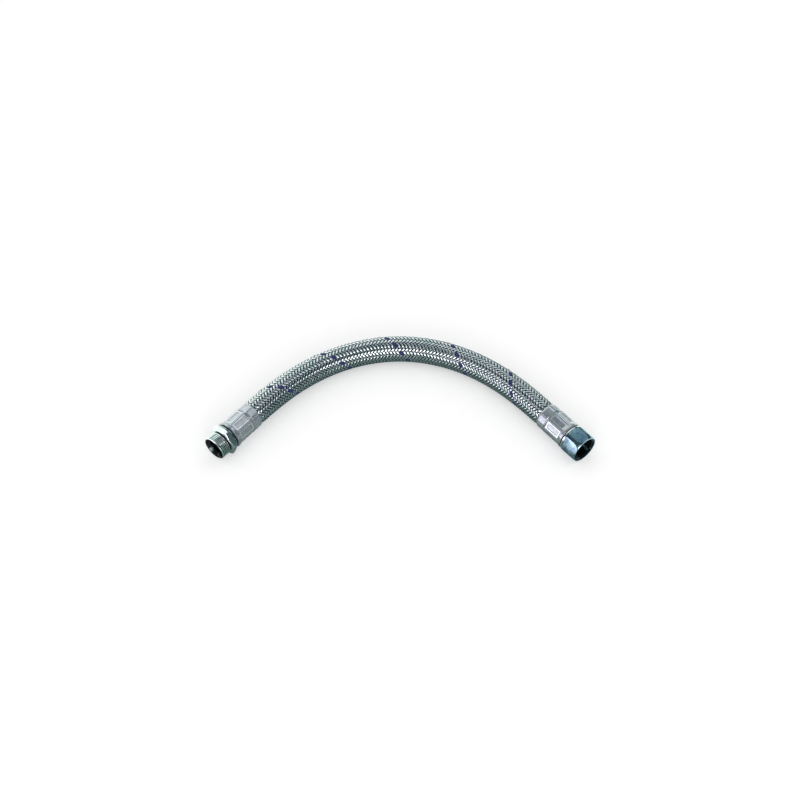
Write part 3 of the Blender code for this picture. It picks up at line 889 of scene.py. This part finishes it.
# handling marks: rubbed patches, faint scratches and a fine grain
def buildSurfaceWear():
    group, source, target = startGroup(
        "surfaceWear",
        [("Vector", "NodeSocketVector", None), ("Rough Low", "NodeSocketFloat", 0.18),
         ("Rough High", "NodeSocketFloat", 0.36), ("Patch Scale", "NodeSocketFloat", 140.0)],
        [("Roughness", "NodeSocketFloat"), ("Height", "NodeSocketFloat")],
    )
    link = group.links.new
    patches = noiseNode(group, (-650, 200), 140, 4, 0.6)
    grain = noiseNode(group, (-650, -80), 2600, 2, 0.5)
    link(source.outputs["Vector"], patches.inputs["Vector"])
    link(source.outputs["Patch Scale"], patches.inputs["Scale"])
    link(source.outputs["Vector"], grain.inputs["Vector"])
    # noise drawn out along X and turned, so that its low spots are fine scratches
    stretched = addNode(group, "ShaderNodeMapping", (-850, -350))
    stretched.inputs["Scale"].default_value = (90, 1400, 1400)
    stretched.inputs["Rotation"].default_value = (0.3, 0.4, 0.9)
    link(source.outputs["Vector"], stretched.inputs["Vector"])
    scratches = noiseNode(group, (-650, -350), 1.0, 1, 0.4)
    link(stretched.outputs["Vector"], scratches.inputs["Vector"])
    spread = addNode(group, "ShaderNodeMapRange", (-400, 200))
    spread.inputs["From Min"].default_value = 0.35
    spread.inputs["From Max"].default_value = 0.65
    link(patches.outputs["Fac"], spread.inputs["Value"])
    link(source.outputs["Rough Low"], spread.inputs["To Min"])
    link(source.outputs["Rough High"], spread.inputs["To Max"])
    line = rampNode(group, (-400, -350), [(0.30, (1, 1, 1)), (0.36, (0, 0, 0))])
    link(scratches.outputs["Fac"], line.inputs["Fac"])
    # a scratch lies lower than the grain
    total = addNode(group, "ShaderNodeMath", (-100, -150), operation="MULTIPLY_ADD")
    total.inputs[1].default_value = -scratchDepth
    link(line.outputs["Color"], total.inputs[0])
    link(grain.outputs["Fac"], total.inputs[2])
    link(spread.outputs["Result"], target.inputs["Roughness"])
    link(total.outputs["Value"], target.inputs["Height"])
    return group


# fine rings that the lathe leaves, crossing the X axis of the vector that comes in
def buildLatheRings():
    group, source, target = startGroup(
        "latheRings",
        [("Vector", "NodeSocketVector", None), ("Spacing", "NodeSocketFloat", 0.0003)],
        [("Height", "NodeSocketFloat")],
    )
    link = group.links.new
    apart = addNode(group, "ShaderNodeSeparateXYZ", (-650, 0))
    link(source.outputs["Vector"], apart.inputs["Vector"])
    count = mathNode(group, (-450, 0), "DIVIDE", apart.outputs["X"], source.outputs["Spacing"])
    turns = mathNode(group, (-250, 0), "MULTIPLY", count, math.tau)
    wave = addNode(group, "ShaderNodeMath", (-50, 0), operation="SINE")
    link(turns, wave.inputs[0])
    uneven = noiseNode(group, (-450, -250), 1.0, 2, 0.5)
    uneven.noise_dimensions = "1D"
    link(count, uneven.inputs["W"])
    out = mathNode(group, (150, -50), "MULTIPLY", wave.outputs["Value"], uneven.outputs["Fac"])
    link(out, target.inputs["Height"])
    return group


belowThread = 0.0008  # from a thread's root to where a bore starts


# painted shade below a certain distance from the axis, as in a thread or a bore
def buildDeepShade():
    group, source, target = startGroup(
        "deepShade",
        [("Vector", "NodeSocketVector", None), ("Color", "NodeSocketColor", (1, 1, 1, 1)),
         ("From", "NodeSocketFloat", 0.015), ("To", "NodeSocketFloat", 0.0165),
         ("Low", "NodeSocketFloat", 0.2), ("Bore", "NodeSocketFloat", 0.2)],
        [("Color", "NodeSocketColor")],
    )
    link = group.links.new
    across = addNode(group, "ShaderNodeVectorMath", (-650, 0), operation="MULTIPLY")
    across.inputs[1].default_value = (0, 1, 1)
    link(source.outputs["Vector"], across.inputs[0])
    reach = addNode(group, "ShaderNodeVectorMath", (-450, 0), operation="LENGTH")
    link(across.outputs["Vector"], reach.inputs[0])
    share = addNode(group, "ShaderNodeMapRange", (-250, 0), interpolation_type="SMOOTHSTEP")
    link(reach.outputs["Value"], share.inputs["Value"])
    link(source.outputs["From"], share.inputs["From Min"])
    link(source.outputs["To"], share.inputs["From Max"])
    link(source.outputs["Low"], share.inputs["To Min"])
    # a bore, which lies further in than the roots of a thread, has a painted shade of its own
    boreEdge = mathNode(group, (-450, -250), "SUBTRACT", source.outputs["From"], belowThread)
    inBore = mathNode(group, (-250, -250), "LESS_THAN", reach.outputs["Value"], boreEdge)
    bore = mathNode(group, (-100, -250), "MULTIPLY", inBore, source.outputs["Bore"])
    most = mathNode(group, (-50, -50), "MAXIMUM", share.outputs["Result"], bore)
    out = addNode(group, "ShaderNodeVectorMath", (150, 0), operation="SCALE")
    link(source.outputs["Color"], out.inputs[0])
    link(most, out.inputs["Scale"])
    link(out.outputs["Vector"], target.inputs["Color"])
    return group


# bright metal where handling has worn the plating off an edge; on the nut's collar it is partly a
# painted highlight
def buildWornEdgesAndHighlight():
    group, source, target = startGroup(
        "wornEdgesAndHighlight",
        [("Mask", "NodeSocketFloat", 0.0), ("Color", "NodeSocketColor", (1, 1, 1, 1)),
         ("Worn Color", "NodeSocketColor", (0.95, 0.96, 0.95, 1))],
        [("Color", "NodeSocketColor")],
    )
    wornAndHighlight = mixColour(group, (-200, 0))
    group.links.new(source.outputs["Mask"], wornAndHighlight.inputs["Factor"])
    group.links.new(source.outputs["Color"], wornAndHighlight.inputs["A"])
    group.links.new(source.outputs["Worn Color"], wornAndHighlight.inputs["B"])
    group.links.new(wornAndHighlight.outputs["Result"], target.inputs["Color"])
    return group


# marks of the crimping dies, partly wear and partly painted light: nought is a dark line of painted
# shade, a half the plain metal, one a rubbed crest with a painted highlight
def buildPressMarksAndPaintedLight():
    group, source, target = startGroup(
        "pressMarksAndPaintedLight",
        [("Mask", "NodeSocketFloat", 0.5), ("Color", "NodeSocketColor", (1, 1, 1, 1))],
        [("Color", "NodeSocketColor")],
    )
    share = rampNode(group, (-500, 100), [
        (0.0, (0.16, 0.18, 0.20)), (0.5, (0.54, 0.55, 0.57)), (1.0, (1, 1, 1)),
    ])
    group.links.new(source.outputs["Mask"], share.inputs["Fac"])
    pressed = multiplyColours(group, (-200, 0), source.outputs["Color"], share.outputs["Color"])
    group.links.new(pressed, target.inputs["Color"])
    return group


platingTints = buildPlatingTints()
surfaceWear = buildSurfaceWear()
latheRings = buildLatheRings()
deepShade = buildDeepShade()
wornEdgesAndHighlight = buildWornEdgesAndHighlight()
pressMarksAndPaintedLight = buildPressMarksAndPaintedLight()
print("node groups built")


# finishes
def startMaterial(name):
    made = bpy.data.materials.new(name)
    made.use_nodes = True
    tree = made.node_tree
    return made, tree, tree.nodes["Principled BSDF"]


platedFinishes = {
    "zincPlate": {
        "pale": (0.84, 0.87, 0.85, 1),
        "tint": (0.64, 0.80, 0.74, 1),
        "secondTint": (0.70, 0.74, 0.78, 1),
        "patch": 70.0, "roughLow": 0.16, "roughHigh": 0.28, "metal": 1.0,
        "rings": 0.00034, "ringDepth": 0.000006,
        "shadeFrom": 0.0153, "shadeTo": 0.0160, "shadeLow": 0.02, "shadeBore": 0.10,
        "pressed": False,
    },
    "pressedSteel": {
        "pale": (0.92, 0.95, 0.94, 1),
        "tint": (0.74, 0.78, 0.84, 1),
        "secondTint": (0.66, 0.78, 0.78, 1),
        "patch": 55.0, "roughLow": 0.20, "roughHigh": 0.34, "metal": 0.72,
        "rings": 0.0007, "ringDepth": 0.000006,
        "shadeFrom": 0.0155, "shadeTo": 0.0168, "shadeLow": 0.30, "shadeBore": 0.30,
        "pressed": True,
    },
    "brightPlate": {
        "pale": (0.40, 0.52, 0.56, 1),
        "tint": (0.25, 0.42, 0.47, 1),
        "secondTint": (0.17, 0.27, 0.48, 1),
        "patch": 110.0, "roughLow": 0.10, "roughHigh": 0.22, "metal": 1.0,
        "rings": 0.0005, "ringDepth": 0.000005,
        "shadeFrom": 0.0172, "shadeTo": 0.0185, "shadeLow": 0.12, "shadeBore": 0.12,
        "pressed": False,
    },
}
wearDepth = 0.000008


# one plated finish, with its lathe rings square to the axis of the end it is on
def makePlated(name, finish, end):
    made, tree, shader = startMaterial(name)
    link = tree.links.new
    coords = addNode(tree, "ShaderNodeTexCoord", (-1300, 0))
    turned = addNode(tree, "ShaderNodeMapping", (-1100, -300), vector_type="TEXTURE")
    turned.inputs["Location"].default_value = endPlaces[end]["place"]
    turned.inputs["Rotation"].default_value = (0, 0, math.radians(endPlaces[end]["turn"]))
    link(coords.outputs["Object"], turned.inputs["Vector"])
    tints = groupNode(
        tree, platingTints, (-700, 250), Pale=finish["pale"], Tint=finish["tint"],
        Second_Tint=finish["secondTint"], Patch_Scale=finish["patch"],
    )
    wear = groupNode(
        tree, surfaceWear, (-700, -50),
        Rough_Low=finish["roughLow"], Rough_High=finish["roughHigh"],
    )
    rings = groupNode(tree, latheRings, (-700, -350), Spacing=finish["rings"])
    link(coords.outputs["Object"], tints.inputs["Vector"])
    link(coords.outputs["Object"], wear.inputs["Vector"])
    link(turned.outputs["Vector"], rings.inputs["Vector"])
    ringBump = bumpNode(tree, (-400, -350), rings.outputs["Height"], finish["ringDepth"])
    wearBump = bumpNode(tree, (-200, -250), wear.outputs["Height"], wearDepth)
    link(ringBump.outputs["Normal"], wearBump.inputs["Normal"])
    # painted shade in the roots of threads, in bores and on other surfaces near the axis
    deep = groupNode(
        tree, deepShade, (-400, 250), From=finish["shadeFrom"], To=finish["shadeTo"],
        Low=finish["shadeLow"], Bore=finish["shadeBore"],
    )
    link(turned.outputs["Vector"], deep.inputs["Vector"])
    link(tints.outputs["Color"], deep.inputs["Color"])
    # worn edges, and on the nut's collar partly a painted highlight
    edge = attributeNode(tree, (-400, 500), "edgeWearAndHighlight")
    wornAndHighlight = groupNode(tree, wornEdgesAndHighlight, (-200, 350))
    link(edge.outputs["Fac"], wornAndHighlight.inputs["Mask"])
    link(deep.outputs["Color"], wornAndHighlight.inputs["Color"])
    colour = wornAndHighlight.outputs["Color"]
    # on the ferrules, die wear with painted shade and painted highlight
    if finish["pressed"]:
        rubAndPaintedLight = attributeNode(tree, (-400, 700), "rubbedAndPaintedLight")
        pressed = groupNode(tree, pressMarksAndPaintedLight, (0, 450))
        link(rubAndPaintedLight.outputs["Fac"], pressed.inputs["Mask"])
        link(colour, pressed.inputs["Color"])
        colour = pressed.outputs["Color"]
    link(colour, shader.inputs["Base Color"])
    link(wear.outputs["Roughness"], shader.inputs["Roughness"])
    link(wearBump.outputs["Normal"], shader.inputs["Normal"])
    shader.inputs["Metallic"].default_value = finish["metal"]
    return made


wireLook = {
    "tones": [(0.0, (0.74, 0.80, 0.80)), (0.5, (0.84, 0.88, 0.89)), (1.0, (0.92, 0.94, 0.95))],
    "drift": [(0.3, (0.80, 0.90, 0.88)), (0.65, (1, 1, 1))],
    "sunkShade": [(0.38, (0.02, 0.025, 0.03)), (0.74, (1, 1, 1))],  # painted shade, from under to over
    "gapShade": (0.03, 0.04, 0.04),
    "gapShadeShare": 0.16,  # of a band's width, where painted shade darkens its edges
    "driftScale": 75,
    "patch": 300.0,
    "roughLow": 0.16,
    "roughHigh": 0.28,
    "wearDepth": 0.000006,
}


# bright stainless wire: each band a little lighter or darker, with painted shade where it dives under
# and along its two edges
def makeWireFinish(look):
    made, tree, shader = startMaterial("braidWire")
    link = tree.links.new
    coords = addNode(tree, "ShaderNodeTexCoord", (-1200, 0))
    tone = attributeNode(tree, (-1000, 300), "bandTone")
    shade = rampNode(tree, (-800, 300), look["tones"])
    link(tone.outputs["Fac"], shade.inputs["Fac"])
    patches = noiseNode(tree, (-800, 0), look["driftScale"], 3, 0.6)
    link(coords.outputs["Object"], patches.inputs["Vector"])
    drift = rampNode(tree, (-600, 0), look["drift"])
    link(patches.outputs["Fac"], drift.inputs["Fac"])
    colour = multiplyColours(tree, (-300, 200), shade.outputs["Color"], drift.outputs["Color"])
    # painted shade where a band dives under the others
    lift = attributeNode(tree, (-1000, 600), "bandLift")
    sunkShade = rampNode(tree, (-800, 600), look["sunkShade"])
    link(lift.outputs["Fac"], sunkShade.inputs["Fac"])
    uv = addNode(tree, "ShaderNodeUVMap", (-1200, 850), uv_map="alongBand")
    apart = addNode(tree, "ShaderNodeSeparateXYZ", (-1000, 850))
    link(uv.outputs["UV"], apart.inputs["Vector"])
    # painted shade along a band's two edges
    edges = rampNode(tree, (-800, 850), [
        (0.0, look["gapShade"]), (look["gapShadeShare"], (1, 1, 1)),
        (1.0 - look["gapShadeShare"], (1, 1, 1)), (1.0, look["gapShade"]),
    ])
    link(apart.outputs["X"], edges.inputs["Fac"])
    shaded = multiplyColours(tree, (-450, 600), sunkShade.outputs["Color"], edges.outputs["Color"])
    link(multiplyColours(tree, (-150, 350), colour, shaded), shader.inputs["Base Color"])
    wear = groupNode(
        tree, surfaceWear, (-600, -250),
        Rough_Low=look["roughLow"], Rough_High=look["roughHigh"], Patch_Scale=look["patch"],
    )
    link(coords.outputs["Object"], wear.inputs["Vector"])
    link(wear.outputs["Roughness"], shader.inputs["Roughness"])
    bump = bumpNode(tree, (-300, -300), wear.outputs["Height"], look["wearDepth"])
    link(bump.outputs["Normal"], shader.inputs["Normal"])
    shader.inputs["Metallic"].default_value = 1.0
    return made


# roughness between two values, by the same noise that makes the colour
def roughFrom(tree, noise, shader, low, high):
    rough = addNode(tree, "ShaderNodeMapRange", (-550, -100))
    rough.inputs["To Min"].default_value = low
    rough.inputs["To Max"].default_value = high
    tree.links.new(noise.outputs["Fac"], rough.inputs["Value"])
    tree.links.new(rough.outputs["Result"], shader.inputs["Roughness"])


yarnLook = {
    "colours": [
        (0.3, (0.006, 0.008, 0.075)), (0.5, (0.012, 0.015, 0.135)), (0.75, (0.032, 0.036, 0.22)),
    ],
    "fibreScale": (26, 1.6, 1),
    "fibreTurn": 0.16,
    "fibreDepth": 0.00004,
    "roughLow": 0.5,
    "roughHigh": 0.75,
    "sheen": 0.12,
}


# coloured yarn: fine filaments along the band, lighter and darker by a noise
def makeYarnFinish(look):
    made, tree, shader = startMaterial("tracerYarn")
    link = tree.links.new
    uv = addNode(tree, "ShaderNodeUVMap", (-1200, 0), uv_map="alongBand")
    fibres = addNode(tree, "ShaderNodeMapping", (-1000, 0))
    fibres.inputs["Scale"].default_value = look["fibreScale"]
    fibres.inputs["Rotation"].default_value = (0, 0, look["fibreTurn"])
    link(uv.outputs["UV"], fibres.inputs["Vector"])
    strands = noiseNode(tree, (-800, 0), 1.0, 3, 0.6)
    link(fibres.outputs["Vector"], strands.inputs["Vector"])
    colour = rampNode(tree, (-550, 150), look["colours"])
    link(strands.outputs["Fac"], colour.inputs["Fac"])
    link(colour.outputs["Color"], shader.inputs["Base Color"])
    roughFrom(tree, strands, shader, look["roughLow"], look["roughHigh"])
    bump = bumpNode(tree, (-300, -300), strands.outputs["Fac"], look["fibreDepth"])
    link(bump.outputs["Normal"], shader.inputs["Normal"])
    shader.inputs["Sheen Weight"].default_value = look["sheen"]
    return made


rubberLooks = {
    "linerRubber": {"dark": (0.008, 0.009, 0.010), "light": (0.02, 0.021, 0.023), "rough": 0.55},
    "gasketRubber": {"dark": (0.02, 0.02, 0.021), "light": (0.05, 0.05, 0.052), "rough": 0.6},
}
rubberGrain = {"mottleScale": 160, "grainScale": 1800, "grainDepth": 0.00002, "roughSpread": 0.1}


# mottled rubber with a fine grain
def makeRubber(name, look):
    made, tree, shader = startMaterial(name)
    link = tree.links.new
    coords = addNode(tree, "ShaderNodeTexCoord", (-1000, 0))
    mottle = noiseNode(tree, (-800, 100), rubberGrain["mottleScale"], 4, 0.6)
    grain = noiseNode(tree, (-800, -200), rubberGrain["grainScale"], 2, 0.5)
    link(coords.outputs["Object"], mottle.inputs["Vector"])
    link(coords.outputs["Object"], grain.inputs["Vector"])
    colour = rampNode(tree, (-550, 150), [(0.35, look["dark"]), (0.7, look["light"])])
    link(mottle.outputs["Fac"], colour.inputs["Fac"])
    link(colour.outputs["Color"], shader.inputs["Base Color"])
    spread = rubberGrain["roughSpread"]
    roughFrom(tree, mottle, shader, look["rough"] - spread, look["rough"] + spread)
    bump = bumpNode(tree, (-300, -250), grain.outputs["Fac"], rubberGrain["grainDepth"])
    link(bump.outputs["Normal"], shader.inputs["Normal"])
    return made


zincAtMale = makePlated("zincPlateMale", platedFinishes["zincPlate"], "male")
zincAtNut = makePlated("zincPlateTail", platedFinishes["zincPlate"], "nut")
steelAtMale = makePlated("pressedSteelMale", platedFinishes["pressedSteel"], "male")
steelAtNut = makePlated("pressedSteelNut", platedFinishes["pressedSteel"], "nut")
nutPlate = makePlated("brightPlateNut", platedFinishes["brightPlate"], "nut")
wireFinish = makeWireFinish(wireLook)
yarnFinish = makeYarnFinish(yarnLook)
linerRubber = makeRubber("linerRubber", rubberLooks["linerRubber"])
gasketRubber = makeRubber("gasketRubber", rubberLooks["gasketRubber"])


def giveFinish(piece, finish):
    piece.data.materials.clear()
    piece.data.materials.append(finish)


def repaintNode(name, finish):
    for holder in bpy.data.objects[name].material_slots:
        holder.material = finish


giveFinish(insertPiece, zincAtMale)
giveFinish(nutPiece, nutPlate)
giveFinish(maleFerrule, steelAtMale)
giveFinish(nutFerrule, steelAtNut)
for bands in braidPieces[:-1]:
    giveFinish(bands, wireFinish)
giveFinish(braidPieces[-1], yarnFinish)
repaintNode("liner_tube", linerRubber)
repaintNode("gasket", gasketRubber)
repaintNode("female_tail", zincAtNut)
print("finishes made")


# what each piece rides on, replaces and is painted as
for piece, body, slot, node in [
    (insertPiece, "hose", "zinc_plate", "male_insert"),
    (maleFerrule, "hose", "pressed_steel", "male_ferrule"),
    (nutFerrule, "hose", "pressed_steel", "female_ferrule"),
    (nutPiece, "nut", "bright_plate", "swivel_nut"),
]:
    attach(piece, body)
    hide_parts(node)
for bands in braidPieces:
    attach(bands, "hose")
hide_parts("wire_braid")


# floor, lamps and world
studio = {
    "floorColour": (0.72, 0.72, 0.72, 1),
    "floorRough": 0.9,
    "floorSpecular": 0.1,
    "floorGlow": 0.38,  # seen by the camera only
    # the floor as metal reflects it: painted shade near the hose, painted light and glow further out
    "floorShadeInGloss": (0.22, 0.30, 0.30, 1),
    "farFloorLightInGloss": (0.80, 0.86, 0.84, 1),
    "farGlowInGloss": 0.6,
    "bendCentre": (-0.0864, -0.2328, 0.0),
    "farFrom": 0.25,  # from the bend's centre, where the floor's painted reflection turns pale
    "farTo": 0.30,
    "ambient": 0.84,
    "floorSize": 9.0,
    "floorPlace": (-0.2, -0.15, -0.0001),
    "lampsAimAt": (-0.18, -0.14, 0.0),
    "lamps": [
        # name, direction from the hose, distance, size, watts
        ("frontWindow", (0.64, -0.56, 0.53), 1.7, 0.62, 4.0),
    ],
    "room": (0.07, 0.11, 0.13),
    "roomPatches": [
        # direction, degrees where it is full, degrees where it ends, colour
        ((-0.88, 0.14, 0.45), 16, 38, (1.45, 1.50, 1.50)),
        ((0.08, 0.58, 0.80), 9, 22, (1.25, 1.28, 1.36)),
        ((-0.70, 0.65, 0.28), 10, 24, (0.95, 1.04, 1.00)),
        ((-0.42, 0.38, 0.83), 5, 17, (0.24, 0.38, 0.42)),
        ((-0.43, 0.68, 0.59), 7, 17, (0.62, 0.70, 0.86)),
        ((-0.40, 0.90, 0.05), 14, 32, (0.05, 0.11, 0.09)),
        ((-0.43, -0.88, 0.16), 14, 26, (2.6, 2.5, 2.8)),
        ((0.62, -0.50, 0.60), 12, 23, (4.0, 3.9, 4.0)),
    ],
}


# plain and pale to the camera; in gloss a painted reflection, dark inside the bend and glowing beyond it
def layFloor():
    bpy.ops.object.select_all(action="DESELECT")
    bpy.ops.mesh.primitive_plane_add(size=studio["floorSize"], location=studio["floorPlace"])
    floor = bpy.context.object
    floor.name = "paleFloor"
    bpy.ops.object.transform_apply(location=True, rotation=True, scale=True)
    made, tree, shader = startMaterial("paleFloor")
    link = tree.links.new
    shader.inputs["Roughness"].default_value = studio["floorRough"]
    shader.inputs["Specular IOR Level"].default_value = studio["floorSpecular"]
    path = addNode(tree, "ShaderNodeLightPath", (-600, -300))
    glow = addNode(tree, "ShaderNodeMath", (-300, -300), operation="MULTIPLY_ADD")
    glow.inputs[1].default_value = studio["floorGlow"]
    link(path.outputs["Is Camera Ray"], glow.inputs[0])
    coords = addNode(tree, "ShaderNodeTexCoord", (-1100, 200))
    away = addNode(tree, "ShaderNodeVectorMath", (-900, 200), operation="DISTANCE")
    away.inputs[1].default_value = studio["bendCentre"]
    link(coords.outputs["Object"], away.inputs[0])
    far = addNode(tree, "ShaderNodeMapRange", (-700, 200), interpolation_type="SMOOTHSTEP")
    far.inputs["From Min"].default_value = studio["farFrom"]
    far.inputs["From Max"].default_value = studio["farTo"]
    link(away.outputs["Value"], far.inputs["Value"])
    # in reflections only: painted shade inside the bend, painted light beyond it
    paintedReflection = mixColour(tree, (-500, 150))
    paintedReflection.inputs["A"].default_value = studio["floorShadeInGloss"]
    paintedReflection.inputs["B"].default_value = studio["farFloorLightInGloss"]
    link(far.outputs["Result"], paintedReflection.inputs["Factor"])
    # beyond the bend the floor glows in reflections, though it is no lamp
    farGlow = mathNode(tree, (-700, -350), "MULTIPLY", far.outputs["Result"], studio["farGlowInGloss"])
    glossGlow = mathNode(tree, (-500, -400), "MULTIPLY", farGlow, path.outputs["Is Glossy Ray"])
    link(glossGlow, glow.inputs[2])
    colour = mixColour(tree, (-300, 0))
    colour.inputs["A"].default_value = studio["floorColour"]
    link(paintedReflection.outputs["Result"], colour.inputs["B"])
    link(path.outputs["Is Glossy Ray"], colour.inputs["Factor"])
    link(colour.outputs["Result"], shader.inputs["Base Color"])
    shader.inputs["Emission Color"].default_value = (1, 1, 1, 1)
    link(glow.outputs["Value"], shader.inputs["Emission Strength"])
    giveFinish(floor, made)


def hangLamps():
    middle = Vector(studio["lampsAimAt"])
    for name, direction, distance, size, watts in studio["lamps"]:
        data = bpy.data.lights.new(name, "AREA")
        data.shape = "SQUARE"
        data.size = size
        data.energy = watts
        lamp = bpy.data.objects.new(name, data)
        bpy.context.collection.objects.link(lamp)
        away = Vector(direction).normalized()
        lamp.location = middle + away * distance
        lamp.rotation_euler = (-away).to_track_quat("-Z", "Y").to_euler()


# white for the camera, plain for diffuse light, and a room of light and dark walls for gloss
def lightWorld():
    world = bpy.data.worlds.new("studioWorld")
    scene.world = world
    world.use_nodes = True
    tree = world.node_tree
    link = tree.links.new
    background = tree.nodes["Background"]
    coords = addNode(tree, "ShaderNodeTexCoord", (-2200, 0))
    room = None
    for number, (direction, full, ends, colour) in enumerate(studio["roomPatches"]):
        place = -1900 + 260 * number
        towards = addNode(tree, "ShaderNodeVectorMath", (place, -300), operation="DOT_PRODUCT")
        towards.inputs[1].default_value = Vector(direction).normalized()
        link(coords.outputs["Generated"], towards.inputs[0])
        share = addNode(tree, "ShaderNodeMapRange", (place, -100), interpolation_type="SMOOTHSTEP")
        share.inputs["From Min"].default_value = math.cos(math.radians(ends))
        share.inputs["From Max"].default_value = math.cos(math.radians(full))
        link(towards.outputs["Value"], share.inputs["Value"])
        mixed = mixColour(tree, (place, 100))
        mixed.inputs["A"].default_value = (*studio["room"], 1)
        mixed.inputs["B"].default_value = (*colour, 1)
        link(share.outputs["Result"], mixed.inputs["Factor"])
        if room:
            link(room, mixed.inputs["A"])
        room = mixed.outputs["Result"]
    path = addNode(tree, "ShaderNodeLightPath", (-900, 450))
    plain = mixColour(tree, (-300, 0))
    plain.inputs["A"].default_value = (studio["ambient"],) * 3 + (1,)
    link(path.outputs["Is Glossy Ray"], plain.inputs["Factor"])
    link(room, plain.inputs["B"])
    seen = mixColour(tree, (-100, 100))
    seen.inputs["B"].default_value = (1, 1, 1, 1)
    link(path.outputs["Is Camera Ray"], seen.inputs["Factor"])
    link(plain.outputs["Result"], seen.inputs["A"])
    link(seen.outputs["Result"], background.inputs["Color"])
    background.inputs["Strength"].default_value = 1.0


layFloor()
hangLamps()
lightWorld()
print("floor, lamps and world set")
